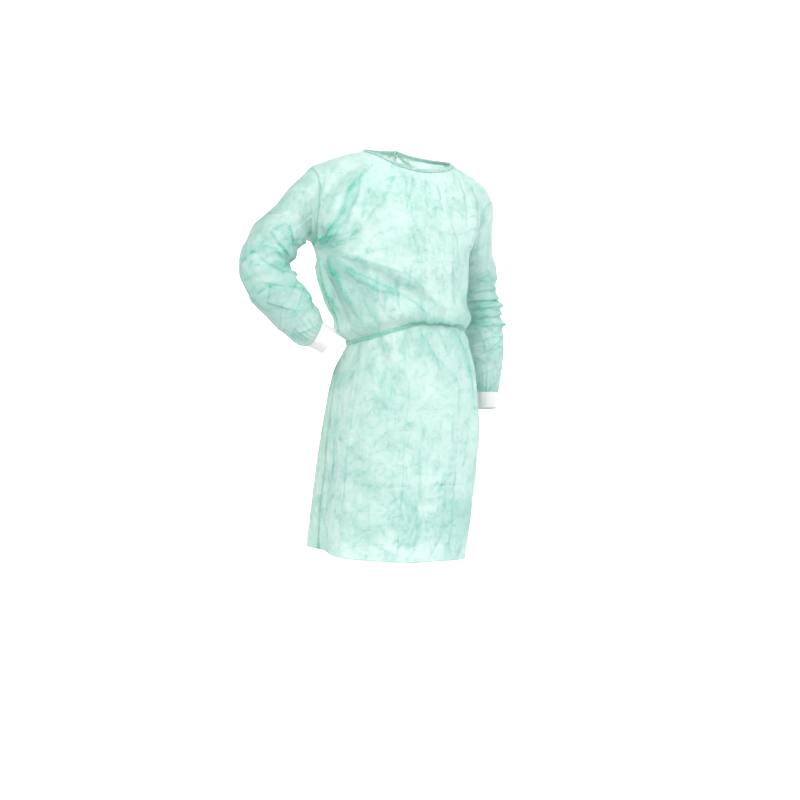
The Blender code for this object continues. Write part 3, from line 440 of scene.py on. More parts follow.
def bent_line(u, v, places):
    """For each point, the distance aside from a bent line and how far along it, from 0 to 1."""
    steps = np.hypot(*np.diff(places, axis=0).T)
    walked = np.concatenate([[0], np.cumsum(steps)]) / steps.sum()
    nearest = np.full(u.shape, 9.0)
    signed, along = np.zeros(u.shape), np.zeros(u.shape)
    for i, (start, step) in enumerate(zip(places[:-1], np.diff(places, axis=0))):
        t = np.clip(((u - start[0]) * step[0] + (v - start[1]) * step[1]) / (step @ step), 0, 1)
        away_u, away_v = u - start[0] - t * step[0], v - start[1] - t * step[1]
        gap = np.hypot(away_u, away_v)
        here = gap < nearest
        side = np.sign(away_u * step[1] - away_v * step[0])
        signed = np.where(here, side * gap, signed)
        along = np.where(here, walked[i] + t * (walked[i + 1] - walked[i]), along)
        nearest = np.where(here, gap, nearest)
    return signed, along


def rounded(places, turns=2):
    """The same bent line with its corners cut, as a curve: each turn keeps the quarter points."""
    places = np.array(places, float)
    for _ in range(turns):
        near = places[:-1] * 0.75 + places[1:] * 0.25
        far = places[:-1] * 0.25 + places[1:] * 0.75
        middle = np.stack([near, far], axis=1).reshape(-1, 2)
        places = np.concatenate([places[:1], middle[1:-1], places[-1:]])
    return places


def fine_folds(angle, height):
    """Relief and tint of the fine folds, each a pleat on its line, and of the packet's creases."""
    angle = wrap(angle)
    shape = np.broadcast(angle, height).shape
    relief, tint = np.zeros(shape), np.zeros(shape)
    u = np.radians(angle) * ROUND_RADIUS
    for high, flank, band, dark, places in FINE_FOLDS:
        line = rounded([(np.radians(a) * ROUND_RADIUS, h) for a, h in places])
        aside, along = bent_line(u, height, line)
        fade = ease(along / FOLD_IN) * ease((1 - along) / FOLD_OUT)
        fade = fade * np.exp(-((aside / FOLD_REACH) ** 4))
        fade = fade * (1 - FOLD_WAVER + FOLD_WAVER * np.sin(WAVERS * along + 900 * band))
        aside = aside + FOLD_WANDER * np.sin(along * FOLD_BENDS)
        lift, deeper = pleat(aside, high, flank, band * (0.6 + 0.4 * fade), dark)
        relief, tint = relief + lift * fade, tint + deeper * fade
    for a, top, low in PACK_UPRIGHT:
        aside = np.radians(wrap(angle - a)) * ROUND_RADIUS
        fade = ease((top - height) / PACK_FADE) * ease((height - low) / PACK_FADE)
        relief = relief + PACK_DEPTH * tent(aside, PACK_FLANK) * fade
        tint = tint + PACK_TINT * np.exp(-((aside / PACK_LINE) ** 2)) * fade
    for h, first, last in PACK_LEVEL:
        aside = height - h - 0.0015 * np.sin(np.radians(angle) * 5)
        turned = np.mod(angle - first, 360.0)
        fade = ease(turned / PACK_TURN) * ease((last - first - turned) / PACK_TURN)
        relief = relief - PACK_DEPTH * tent(aside, PACK_FLANK) * fade
        tint = tint + PACK_TINT * np.exp(-((aside / PACK_LINE) ** 2)) * fade
    return relief, tint


packed = len(PACK_UPRIGHT) + len(PACK_LEVEL)
print(len(FINE_FOLDS), "fine folds,", packed, "creases from the packet")

# %% [markdown]
# ## Papery crumple
#
# Between the folds the cloth is never smooth: it has hundreds of short faint creases. They
# could be a noise texture, but noise has no straight lines and looks like orange peel. We
# scatter short tents of random place, direction and length, with a fixed seed, so each run
# gives the same cloth. Each is a function of the place in space along two directions, so it
# runs on across a seam from one panel to the next.

# %% Scattered short creases
# The first is the painted shade along one flank of each short crease
CREASE_SHADE, CREASE_WANDER, PULL_SPREAD = 230, 0.12, 0.12


def scattered(u, v, seed, count, spans, lean, sizes, pulls=()):
    """Relief of many short tents on a tube that is spans[0] long round, and a tint of painted
    shade along one flank of each. Each has its own middle, direction, length, flank and height,
    drawn from a seeded generator. lean is the usual direction, in degrees from level, and its
    spread. sizes gives the ranges of length, flank and height. Near a pull they point at it: its
    place and its reach."""
    draw = np.random.default_rng(seed)
    turn, (v_low, v_high) = spans
    relief, tint = np.zeros(u.shape), np.zeros(u.shape)
    for _ in range(count):
        middle_u, middle_v = draw.uniform(0, turn), draw.uniform(v_low, v_high)
        heading = np.radians(draw.normal(*lean))
        half, flank, high = (draw.uniform(*span) for span in sizes)
        high *= draw.choice([-1.0, 1.0])
        for pull_u, pull_v, reach in pulls:
            gap_u = (middle_u - pull_u + turn / 2) % turn - turn / 2
            if np.hypot(gap_u, middle_v - pull_v) < reach * draw.uniform(0.3, 1):
                heading = np.arctan2(middle_v - pull_v, gap_u) + draw.normal(0, PULL_SPREAD)
        du = (u - middle_u + turn / 2) % turn - turn / 2
        dv = v - middle_v
        near = (np.abs(du) < 2 * half + 5 * flank) & (np.abs(dv) < 2 * half + 5 * flank)
        du, dv = du[near], dv[near]
        along = du * np.cos(heading) + dv * np.sin(heading)
        aside = dv * np.cos(heading) - du * np.sin(heading)
        aside = aside + CREASE_WANDER * flank * np.sin(along / half * 4)
        bell = np.exp(-((along / half) ** 4))
        relief[near] += high * bell * tent(aside, flank)
        # Painted shade: a deeper line along one flank of the crease
        beside = np.exp(-((aside / flank - 0.7) ** 2) * 1.6)
        tint[near] += CREASE_SHADE * abs(high) * bell * beside
    return relief, tint


def billows(points, seed, size):
    """Soft uneven swelling: the mean of eight waves about that size, each in its own direction."""
    draw = np.random.default_rng(seed)
    total = np.zeros(points.shape[:-1])
    for _ in range(8):
        heading = unit(draw.normal(size=3))
        length = size * draw.uniform(0.7, 1.5)
        total += np.sin(points @ heading * 2 * np.pi / length + draw.uniform(0, 6.28))
    return total / 8


# %% [markdown]
# ## The whole surface of the body
#
# All relief comes together in one function of angle and height. Every panel, the belt, the
# binding and the bows are laid on it, so they agree where they meet. Near the belt and the
# neck edge the fine relief calms down, because a strap holds the cloth flat there.

# %% One surface for every panel
SMALL_ANGLE, SMALL_HEIGHT = 0.2, 0.0005
FULL_TURN = 2 * np.pi * ROUND_RADIUS
SHORT_CREASES = [(0.008, 0.026), (0.0022, 0.0040), (0.0003, 0.0011)]
LONG_CREASES = [(0.020, 0.055), (0.0030, 0.0055), (0.0008, 0.0020)]
PULLS = [
    (np.radians(-82) * ROUND_RADIUS, -0.265, 0.26),
    (np.radians(64) * ROUND_RADIUS, -0.265, 0.16),
    (np.radians(124) * ROUND_RADIUS, -0.265, 0.18),
    (np.radians(-124) * ROUND_RADIUS, -0.265, 0.18),
]


# Where the cloth is crushed under a sleeve, tinted deeper for the bunched cloth and as painted
# shade under the arm: place round, height, width, tallness and tint
CRUSHED_AND_SHADED = [
    (np.radians(-84) * ROUND_RADIUS, -0.254, 0.022, 0.013, 0.60),
    (np.radians(-72) * ROUND_RADIUS, -0.236, 0.026, 0.030, 0.35),
    (np.radians(-74) * ROUND_RADIUS, -0.310, 0.032, 0.060, 0.34),
    (np.radians(60) * ROUND_RADIUS, -0.262, 0.020, 0.030, 0.40),
]
# Painted shade on the skirt: deeper towards the hem, from its top down over its fade
SKIRT_SHADE, SKIRT_SHADE_TOP, SKIRT_SHADE_FADE = 0.14, -0.42, 0.45
# Seed, count, usual direction and its spread, and sizes
BODY_CREASES = [(11, 620, (82, 34), SHORT_CREASES), (12, 170, (88, 26), LONG_CREASES)]
PUCKER_RISE, PUCKERS, PUCKER_REACH, PUCKER_START = 0.0020, 74, 0.030, 0.012
SWELL, SWELL_SIZE = 0.0026, 0.10
BELT_HOLD, BELT_FREE, NECK_HOLD, NECK_FREE = 0.007, 0.022, 0.011, 0.025


def calm(angle, height):
    """0 beside the belt and the neck edge, and 1 from about 30 mm away."""
    from_belt = np.abs(height - round_height(angle, "belt")) - BELT_HOLD
    from_neck = round_height(angle, "neck") - height - NECK_HOLD
    return ease(from_belt / BELT_FREE) * ease(from_neck / NECK_FREE)


def fine_relief(angle, height):
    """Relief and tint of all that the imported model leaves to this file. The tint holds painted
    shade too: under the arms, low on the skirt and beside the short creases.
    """
    angle, height = np.broadcast_arrays(np.asarray(angle, float), np.asarray(height, float))
    relief, tint = fine_folds(angle, height)
    u = np.radians(wrap(angle)) * ROUND_RADIUS
    spans = (FULL_TURN, (-1.07, 0.0))
    for seed, count, lean, sizes in BODY_CREASES:
        lift, deeper = scattered(u, height, seed, count, spans, lean, sizes, PULLS)
        relief, tint = relief + lift, tint + deeper
    puckers = np.sin(np.radians(angle) * PUCKERS + 3 * np.sin(np.radians(angle) * 7))
    from_belt = np.abs(height - round_height(angle, "belt"))
    drawn_in = PUCKER_RISE * puckers * np.exp(-((from_belt / PUCKER_REACH) ** 2))
    drawn_in = drawn_in * ease(from_belt / PUCKER_START)
    swell = SWELL * billows(ring_point(angle, height), 3, SWELL_SIZE)
    # Painted shade under the arms, with the crushed cloth there, and painted shade low on the skirt
    crushed_and_shade = 0
    for at, level, wide, tall, deep in CRUSHED_AND_SHADED:
        away = ((u - at) / wide) ** 2 + ((height - level) / tall) ** 2
        crushed_and_shade = crushed_and_shade + deep * np.exp(-away)
    crushed_and_shade = crushed_and_shade + SKIRT_SHADE * ease((SKIRT_SHADE_TOP - height) / SKIRT_SHADE_FADE)
    hush = calm(angle, height)
    return (relief + drawn_in + swell) * hush, (tint + crushed_and_shade) * hush


def across(surface, u, v, small_u, small_v):
    """The direction square to a surface: the cross product of a small step of each parameter."""
    u_step = surface(u + small_u, v) - surface(u - small_u, v)
    v_step = surface(u, v + small_v) - surface(u, v - small_v)
    return unit(np.cross(u_step, v_step))


def body_point(angle, height, out=0.0):
    """A point of the body with its large folds, moved out along the plain ring's normal."""
    angle, height = np.asarray(angle, float), np.asarray(height, float)
    outward = across(ring_point, angle, height, SMALL_ANGLE, SMALL_HEIGHT)
    return ring_point(angle, height) + outward * (body_relief(angle, height) + out)[..., None]


def body_normal(angle, height):
    """The outward direction of the body with its large folds."""
    angle, height = np.asarray(angle, float), np.asarray(height, float)
    return across(body_point, angle, height, SMALL_ANGLE, SMALL_HEIGHT)


# %% [markdown]
# ## From a grid of points to a piece of cloth
#
# Each panel is a grid of points that covers its cut, edge to edge. The mesh gets a UV map in
# metres, so a pattern in the cloth has its real size and follows the panel, and a tint at
# each point for the places where the cloth is doubled and for painted shade. Solidify gives it
# two faces half a millimetre apart, because real cloth has an inside too.

# %% Making a piece of cloth
CLOTH_SHELL = 0.0005
made = {}


def grid_faces(rows, columns, closed):
    """Four-cornered faces between the points of a grid. closed is "", "round" or "both"."""
    number = np.arange(rows * columns).reshape(rows, columns)
    if closed:
        number = np.concatenate([number, number[:, :1]], axis=1)
    if closed == "both":
        number = np.concatenate([number, number[:1]], axis=0)
    corners = [number[:-1, :-1], number[:-1, 1:], number[1:, 1:], number[1:, :-1]]
    return np.stack(corners, -1).reshape(-1, 4)


def grid_normals(points, closed=""):
    """The cross product of the differences along the two directions of the grid."""
    down = np.gradient(points, axis=0)
    if closed:
        round_it = (np.roll(points, -1, 1) - np.roll(points, 1, 1)) / 2
    else:
        round_it = np.gradient(points, axis=1)
    return unit(np.cross(round_it, down))


def cloth_piece(name, points, uv, tint, closed, shell=CLOTH_SHELL):
    """Makes the object of a grid of points, whose columns run round it so that its faces look
    out. closed says which ways the grid joins up with itself: round, or round and along."""
    rows, columns = points.shape[:2]
    faces = grid_faces(rows, columns, closed)
    mesh = bpy.data.meshes.new(name)
    mesh.from_pydata(points.reshape(-1, 3), [], faces)
    corner = faces.ravel()
    places = uv.reshape(-1, 2)[corner]
    column = faces % columns
    joins = (column == 0).any(axis=1) & (column == columns - 1).any(axis=1)
    joins = np.repeat(joins, 4) & (corner % columns == 0) & bool(closed)
    places[joins, 0] += (uv[0, 1, 0] - uv[0, 0, 0]) * columns
    mesh.uv_layers.new(name="cloth").uv.foreach_set("vector", places.ravel().astype(np.float32))
    layer = mesh.attributes.new("tint", "FLOAT", "POINT")
    tint = np.broadcast_to(tint, (rows, columns)).ravel()
    layer.data.foreach_set("value", tint.astype(np.float32))
    mesh.shade_smooth()
    piece = bpy.data.objects.new(name, mesh)
    bpy.context.scene.collection.objects.link(piece)
    if shell:
        wall = piece.modifiers.new("Wall", "SOLIDIFY")
        wall.thickness, wall.offset = shell, -1.0
    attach(piece, "root")
    made[name] = piece
    print(name, "has", len(faces), "faces")
    return piece


# %% [markdown]
# ## The cut of the front and the two backs
#
# A panel is not a rectangle: its side edge is the side seam, then the curve of the armhole,
# then the shoulder. We walk both side edges and the middle in four bands, hem to belt, belt
# to underarm, underarm to shoulder tip and shoulder to neck, and stretch the rows between
# them. The right back passes under the left one at the middle of the back.

# %% The edges of the panels
ARMHOLE = {
    RIGHT: {"tip": -0.060, "underarm": -0.252, "front_cut": 16.0, "back_cut": 22.0},
    LEFT: {"tip": -0.120, "underarm": -0.258, "front_cut": 37.0, "back_cut": 24.0},
}
MIDDLE_AT_UNDERARM = -0.275
MIDDLE_AT_TIP = {"front": -0.108, "back": -0.066}
OVERLAP = table(
    "height degrees",
    [(-1.07, 17.0), (-0.75, 17.0), (-0.48, 15.0), (-0.25, 8.0), (0.0, -1.2), (0.02, -1.2)],
)
TUCK, TUCK_EASE, MEETING = 0.0040, 16.0, 1.2
FINE_STEPS = 61


def armhole_curve(side, face, turn):
    """Half an oval: turn 0 is the underarm and 180 the shoulder tip. The height is a cosine of
    the turn, and the cut into the panel a sine."""
    cut = ARMHOLE[side]
    line = SIDE_SEAM_ANGLE + (SHOULDER_ANGLE - SIDE_SEAM_ANGLE) * turn / 180.0
    depth = -cut["front_cut"] if face == "front" else cut["back_cut"]
    angle = side * (line + depth * np.sin(np.radians(turn)))
    low, high = cut["underarm"], cut["tip"]
    return angle, (low + high) / 2 - (high - low) / 2 * np.cos(np.radians(turn))


def armhole_line(side, face, share):
    """The same curve in even steps along it, from the underarm at share 0 to the tip at 1."""
    turn = np.linspace(0, 180, FINE_STEPS)
    walked = walked_along(ring_point(*armhole_curve(side, face, turn)))
    return armhole_curve(side, face, np.interp(share * walked[-1], walked, turn))


def shoulder_heights(side, share):
    """Heights up the shoulder seam, in even steps along it, from the tip to the neck edge."""
    angle = side * SHOULDER_ANGLE
    heights = np.linspace(ARMHOLE[side]["tip"], round_height(angle, "neck"), FINE_STEPS)
    walked = walked_along(ring_point(np.full(heights.shape, angle), heights))
    return np.interp(share * walked[-1], walked, heights)


# %% The rows of a panel
ROWS = {"skirt": 108, "waist": 60, "chest": 56, "yoke": 26}
FRONT_COLUMNS, BACK_COLUMNS = 190, 80


def panel_rows(face, side):
    """For each row of a panel, hem first: its height at the middle, and its angle and height at
    the side edge. The rows of the waist gather beside the belt, where the cloth bends most."""
    middle, seam = (0.0 if face == "front" else 180.0), side * SIDE_SEAM_ANGLE
    hem, belt = ([round_height(at, name) for at in (middle, seam)] for name in ("hem", "belt"))
    under, tip = ARMHOLE[side]["underarm"], MIDDLE_AT_TIP[face]
    grown = {name: np.linspace(0, 1, count + 1)[:-1] for name, count in ROWS.items()}
    grown["waist"] = grown["waist"] ** 1.5
    grown["yoke"] = np.linspace(0, 1, ROWS["yoke"] + 1)
    arm_angle, arm_height = armhole_line(side, face, grown["chest"])
    shoulder = shoulder_heights(side, grown["yoke"])
    levels = [hem[0], belt[0], MIDDLE_AT_UNDERARM, tip, float(round_height(middle, "neck"))]
    climbs = zip(levels[:-1], levels[1:], ROWS)
    middle_height = np.concatenate([low + (high - low) * grown[name] for low, high, name in climbs])
    skirt = hem[1] + (belt[1] - hem[1]) * grown["skirt"]
    waist = belt[1] + (under - belt[1]) * grown["waist"]
    edge_height = np.concatenate([skirt, waist, arm_height, shoulder])
    straight = np.full(ROWS["skirt"] + ROWS["waist"], seam)
    top = np.full(len(shoulder), side * SHOULDER_ANGLE)
    edge_angle = np.concatenate([straight, arm_angle, top])
    return middle_height[:, None], edge_angle[:, None], edge_height[:, None]


def settle(angles, heights):
    """The hem, the belt's row and the neck row moved onto their lines. The move fades away over
    the rows of the bands beside them."""
    row, belt_row, last = np.arange(len(heights))[:, None], ROWS["skirt"], len(heights) - 1
    near_hem = np.clip(1 - row / belt_row, 0, 1)
    below, above = (belt_row - row) / belt_row, (row - belt_row) / ROWS["waist"]
    near_belt = np.clip(1 - np.where(row < belt_row, below, above), 0, 1)
    near_neck = ease(1 - (last - row) / ROWS["yoke"])
    lines = ((near_hem, 0, "hem"), (near_belt, belt_row, "belt"), (near_neck, last, "neck"))
    fixed = heights
    for share, at, name in lines:
        fixed = fixed + share * (round_height(angles[at], name) - heights[at])
    return fixed


def front_grid():
    """Angles and heights over the front, from its right edge to its left."""
    halves = []
    half = FRONT_COLUMNS // 2 + 1
    for side, s in ((RIGHT, np.linspace(1, 0, half)[:-1]), (LEFT, np.linspace(0, 1, half))):
        middle, edge_angle, edge_height = panel_rows("front", side)
        halves.append((edge_angle * s, middle + (edge_height - middle) * ease(s)))
    angles, heights = (np.concatenate(pair, axis=1) for pair in zip(*halves))
    return angles, settle(angles, heights)


def past_middle(heights):
    """How many degrees a back passes the middle at those heights."""
    return smooth(heights, OVERLAP["height"], OVERLAP["degrees"])


def back_grid(side):
    """Angles and heights over one back, in the order of growing angle."""
    s = np.linspace(0, 1, BACK_COLUMNS + 1)
    s = s if side == RIGHT else s[::-1]
    middle, edge_angle, edge_height = panel_rows("back", side)
    last = side * (180.0 + past_middle(middle))
    angles = last + (edge_angle - last) * s
    return angles, settle(angles, middle + (edge_height - middle) * ease(s))


def tuck_of(angles, heights):
    """How far the under back lies inside the body, where the other back covers it."""
    past = past_middle(heights)
    covered = np.abs(angles) - (180.0 - past - TUCK_EASE)
    return TUCK * ease(covered / TUCK_EASE) * ease((past - OVERLAP["degrees"][-1]) / MEETING)


# %% [markdown]
# ## The cloth that hangs over the belt
#
# At the left of the front the slack above the belt has slid down and hangs over it as a lip.
# A relief along the surface's own direction can't make a lip, because the cloth has to come
# back down past itself. So the rows just above the belt also move down, and the profile
# becomes an S: up from the belt, out, down over its edge and up again.

# %% The lip over the belt
LIP_DOWN, LIP_OUT = 0.0105, 0.0065
LIP_ABOVE, LIP_WIDTH, LIP_START, LIP_TINT = 0.015, 0.0085, 0.004, 0.5
LIP_ROUND = table(
    "angle share",
    [
        (-60, 0.0),
        (-20, 0.15),
        (-6, 0.85),
        (12, 1.0),
        (34, 0.9),
        (48, 0.35),
        (70, 0.15),
        (110, 0.3),
        (150, 0.1),
        (179, 0.0),
    ],
)


def lip(angle, height):
    """How far the cloth above the belt moves down, and out: a bell of the height above it."""
    above = height - round_height(angle, "belt")
    share = smooth(wrap(angle), LIP_ROUND["angle"], LIP_ROUND["share"])
    turn = np.radians(angle)
    share = share * (1 + 0.18 * np.sin(turn * 17) + 0.1 * np.sin(turn * 41))
    grown = ease(above / LIP_START)
    down = np.exp(-(((above - LIP_ABOVE) / LIP_WIDTH) ** 2)) * grown
    out = np.exp(-(((above - 1.25 * LIP_ABOVE) / (1.4 * LIP_WIDTH)) ** 2)) * grown
    return LIP_DOWN * share * down, LIP_OUT * share * out


def cloth_point(angle, height, inset=0.0):
    """A point of the finished cloth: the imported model's surface, moved along its direction by
    the fine relief and the lip, and down by the lip."""
    relief, tint = fine_relief(angle, height)
    down, out = lip(angle, height)
    moved = (relief + out - inset)[..., None]
    point = body_point(angle, height) + body_normal(angle, height) * moved
    point[..., 2] -= down
    return point, tint + LIP_TINT * down / LIP_DOWN


# %% [markdown]
# ## Seams
#
# The maker joins the panels with a narrow overlocked seam, which shows outside as a slightly
# raised line where the cloth is doubled, a little darker and puckered. The hem is a bare cut
# edge. The last few millimetres of each side edge are raised and marked in the tint.

# %% Front and backs
SEAM_WIDTH, SEAM_RISE, PUCKER_LENGTH = 0.006, 0.0006, 0.009


def seam_band(points, sides):
    """How strongly each point belongs to a seam: 1 at the named side edges, 0 from 8 mm in."""
    step = np.linalg.norm(np.diff(points, axis=1), axis=2)
    from_first = np.concatenate([np.zeros((len(points), 1)), np.cumsum(step, axis=1)], axis=1)
    from_last = from_first[:, -1:] - from_first
    band = np.zeros(points.shape[:2])
    for side in sides:
        away = from_first if side == "first" else from_last
        band = np.maximum(band, ease(1.4 - away / SEAM_WIDTH))
    return band


def make_panel(name, angles, heights, seams, inset):
    """One panel of the body, with its seams raised and marked. Its node is hidden."""
    points, tint = cloth_point(angles, heights, inset)
    uv = np.stack([np.radians(angles) * ROUND_RADIUS, heights], axis=-1)
    band = seam_band(points, seams)
    pucker = 0.6 + 0.4 * np.sin(heights * 2 * np.pi / PUCKER_LENGTH)
    points = points + grid_normals(points) * (SEAM_RISE * band * pucker)[..., None]
    for side in seams:
        at, beside = (0, 1) if side == "first" else (-1, -2)
        points[:, at] += unit(points[:, beside] - points[:, at]) * SEAM_GAP / 2
    tint = tint + band * (0.35 + 0.2 * pucker)
    piece = cloth_piece(f"{name}_cloth", points, uv, tint, "")
    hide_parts(name)


front_angles, front_heights = front_grid()
make_panel("front", front_angles, front_heights, ["first", "last"], 0.0)
for side, name, seam in ((RIGHT, "back_right", "last"), (LEFT, "back_left", "first")):
    back_angles, back_heights = back_grid(side)
    under = tuck_of(back_angles, back_heights) if side == RIGHT else 0.0
    make_panel(name, back_angles, back_heights, [seam], under)

# %% [markdown]
# ## Sleeves
#
# A sleeve is a tube from the armhole to the cuff. Its head must leave the armhole the way the
# body's cloth runs, and become a round ring a little way down. We use a cubic curve for
# each line down the head, which has both directions built in. Below it a ring is carried
# down a smooth curve, without a twist, by turning each direction as little as possible.

# %% The arms
ARMS = {
    RIGHT: table(
        "x y z across deep",
        [
            (-0.336, 0.045, -0.215, 0.060, 0.064),
            (-0.380, 0.034, -0.265, 0.062, 0.064),
            (-0.400, 0.024, -0.314, 0.064, 0.064),
            (-0.382, 0.014, -0.358, 0.062, 0.062),
            (-0.350, 0.006, -0.401, 0.059, 0.060),
            (-0.314, 0.000, -0.446, 0.055, 0.055),
            (-0.286, -0.004, -0.470, 0.047, 0.047),
            (-0.2755, -0.0055, -0.479, 0.0385, 0.0385),
        ],
    ),
    LEFT: table(
        "x y z across deep",
        [
            (0.212, 0.058, -0.300, 0.056, 0.062),
            (0.221, 0.058, -0.350, 0.055, 0.060),
            (0.226, 0.056, -0.400, 0.057, 0.060),
            (0.232, 0.052, -0.455, 0.056, 0.058),
            (0.237, 0.048, -0.520, 0.053, 0.055),
            (0.239, 0.045, -0.575, 0.047, 0.050),
            (0.238, 0.042, -0.612, 0.041, 0.043),
            (0.238, 0.041, -0.628, 0.0365, 0.0365),
        ],
    ),
}
FRAME_COUNT, ARM_BENDS = 81, 5
HEAD_SHARE = 0.28
HEAD_PULL = {RIGHT: (0.10, 0.06), LEFT: (0.13, 0.055)}
ARM_PULL = {RIGHT: (0.12, 0.05), LEFT: (0.16, 0.08)}
SLEEVE_RADIUS, SLEEVE_REACH, CALM_SHARE = 0.060, 0.46, 0.08
GATHER_START, GATHER_FLAT = 0.80, 0.6

SLEEVE_FOLD_NAMES = "along_1 around_1 along_2 around_2 depth width"
SLEEVE_FOLDS = {
    RIGHT: table(
        SLEEVE_FOLD_NAMES,
        [
            (0.30, 160, 0.42, 60, -0.006, 0.014),
            (0.36, 165, 0.50, 55, 0.006, 0.012),
            (0.46, 175, 0.52, 70, -0.007, 0.012),
            (0.54, 175, 0.58, 60, 0.006, 0.012),
            (0.50, 20, 0.64, 100, -0.005, 0.014),
            (0.66, 20, 0.80, 110, 0.005, 0.014),
            (0.62, 190, 0.70, 90, 0.005, 0.012),
            (0.78, 180, 0.90, 80, -0.005, 0.013),
            (0.10, 130, 0.30, 100, 0.005, 0.016),
            (0.40, 250, 0.60, 300, -0.006, 0.016),
        ],
    ),
    LEFT: table(
        SLEEVE_FOLD_NAMES,
        [
            (0.34, 20, 0.38, 150, 0.006, 0.010),
            (0.44, 350, 0.47, 130, -0.006, 0.010),
            (0.50, 10, 0.52, 160, 0.007, 0.010),
            (0.56, 340, 0.58, 120, -0.006, 0.010),
            (0.62, 10, 0.63, 170, 0.007, 0.010),
            (0.70, 30, 0.86, 110, 0.005, 0.013),
            (0.70, 330, 0.90, 20, -0.005, 0.013),
            (0.42, 200, 0.46, 320, 0.006, 0.012),
            (0.54, 210, 0.56, 330, 0.006, 0.012),
            (0.12, 60, 0.36, 40, 0.005, 0.014),
        ],
    ),
}


def arm_line(side, share):
    """Middle and half widths down the length of a sleeve: polynomials through its table."""
    arm = ARMS[side]
    walked = walked_along(np.stack([arm["x"], arm["y"], arm["z"]], axis=1))
    walked = walked / walked[-1]
    line = [np.polyval(np.polyfit(walked, arm[name], ARM_BENDS), share) for name in "xyz"]
    halves = [smooth(share, walked, arm[name]) for name in ("across", "deep")]
    return np.stack(line, axis=-1), *halves


def arm_frames(side):
    """Along, outward and forward directions down a sleeve. Each outward is the last one with
    its part along the new heading taken away, so the rings never twist."""
    shares = np.linspace(0, 1, FRAME_COUNT)
    along = unit(np.gradient(arm_line(side, shares)[0], axis=0))
    underarm, tip = (body_point(*armhole_line(side, "front", share)) for share in (0.0, 1.0))
    direction = tip - underarm
    outward = []
    for heading in along:
        direction = unit(direction - heading * (direction @ heading))
        outward.append(direction)
    outward = np.array(outward)
    return shares, along, outward, np.cross(along, outward) * side


def arm_ring(side, around, share):
    """A point round the sleeve, 0 degrees outermost and 90 in front: the middle, plus outward
    times a cosine and forward times a sine of the turn."""
    shares, *frames = arm_frames(side)
    at = []
    for frame in frames:
        parts = [np.interp(share, shares, frame[:, i]) for i in range(3)]
        at.append(unit(np.stack(parts, -1)))
    along, outward, forward = at
    middle, across_half, deep_half = arm_line(side, share)
    turn = np.radians(around)
    sideways = outward * (across_half * np.cos(turn))[..., None]
    return middle + sideways + forward * (deep_half * np.sin(turn))[..., None], along


def armhole_ring(side, around):
    """Points on the armhole, 0 degrees at the shoulder tip and 90 in front, the outward
    directions there, and the directions in which the body's surface runs on into the hole."""
    around = np.asarray(around, float) % 360.0
    front = around <= 180.0
    share = np.abs(around - 180.0) / 180.0
    halves = zip(armhole_line(side, "front", share), armhole_line(side, "back", share))
    angle, height = (np.where(front, *pair) for pair in halves)
    point, normal = body_point(angle, height), body_normal(angle, height)
    middle = (ARMHOLE[side]["tip"] + ARMHOLE[side]["underarm"]) / 2
    wanted = body_point(side * SHOULDER_ANGLE, middle) - point
    sideways = wanted - normal * np.einsum("...i,...i->...", wanted, normal)[..., None]
    relief = fine_relief(angle, height)[0]
    return point + normal * relief[..., None], normal, unit(sideways)


def plain_sleeve(side, around, travel):
    """A sleeve with no folds: a cubic from the armhole to the top ring, then its own rings."""
    ring_at = np.unique(around)
    rows = np.searchsorted(ring_at, around)
    start, _, leaving = (values[rows] for values in armhole_ring(side, ring_at))
    ring, heading = (values[rows] for values in arm_ring(side, ring_at, np.zeros(ring_at.shape)))
    top = (1 + np.cos(np.radians(around))) / 2
    pulls = (HEAD_PULL[side], ARM_PULL[side])
    leave_pull, arm_pull = (low + (high - low) * top for high, low in pulls)
    t = np.clip(travel / HEAD_SHARE, 0, 1)[..., None]
    head = (
        start * (1 + 2 * t) * (1 - t) ** 2
        + leaving * leave_pull[..., None] * t * (1 - t) ** 2
        + ring * t**2 * (3 - 2 * t)
        + heading * arm_pull[..., None] * t**2 * (t - 1)
    )
    share = np.clip((travel - HEAD_SHARE) / (1 - HEAD_SHARE), 0, 1)
    return np.where(travel[..., None] < HEAD_SHARE, head, arm_ring(side, around, share)[0])


# %% [markdown]
# ## Folds of the sleeves
#
# The right sleeve is bent: its folds start inside the bend and run out across it. The left
# one hangs and is longer than its fall, so it bunches in rings above the cuff. Both are
# gathered where they meet the cuff. The fine folds are bent lines again, in degrees round
# the sleeve and shares of the way down it.

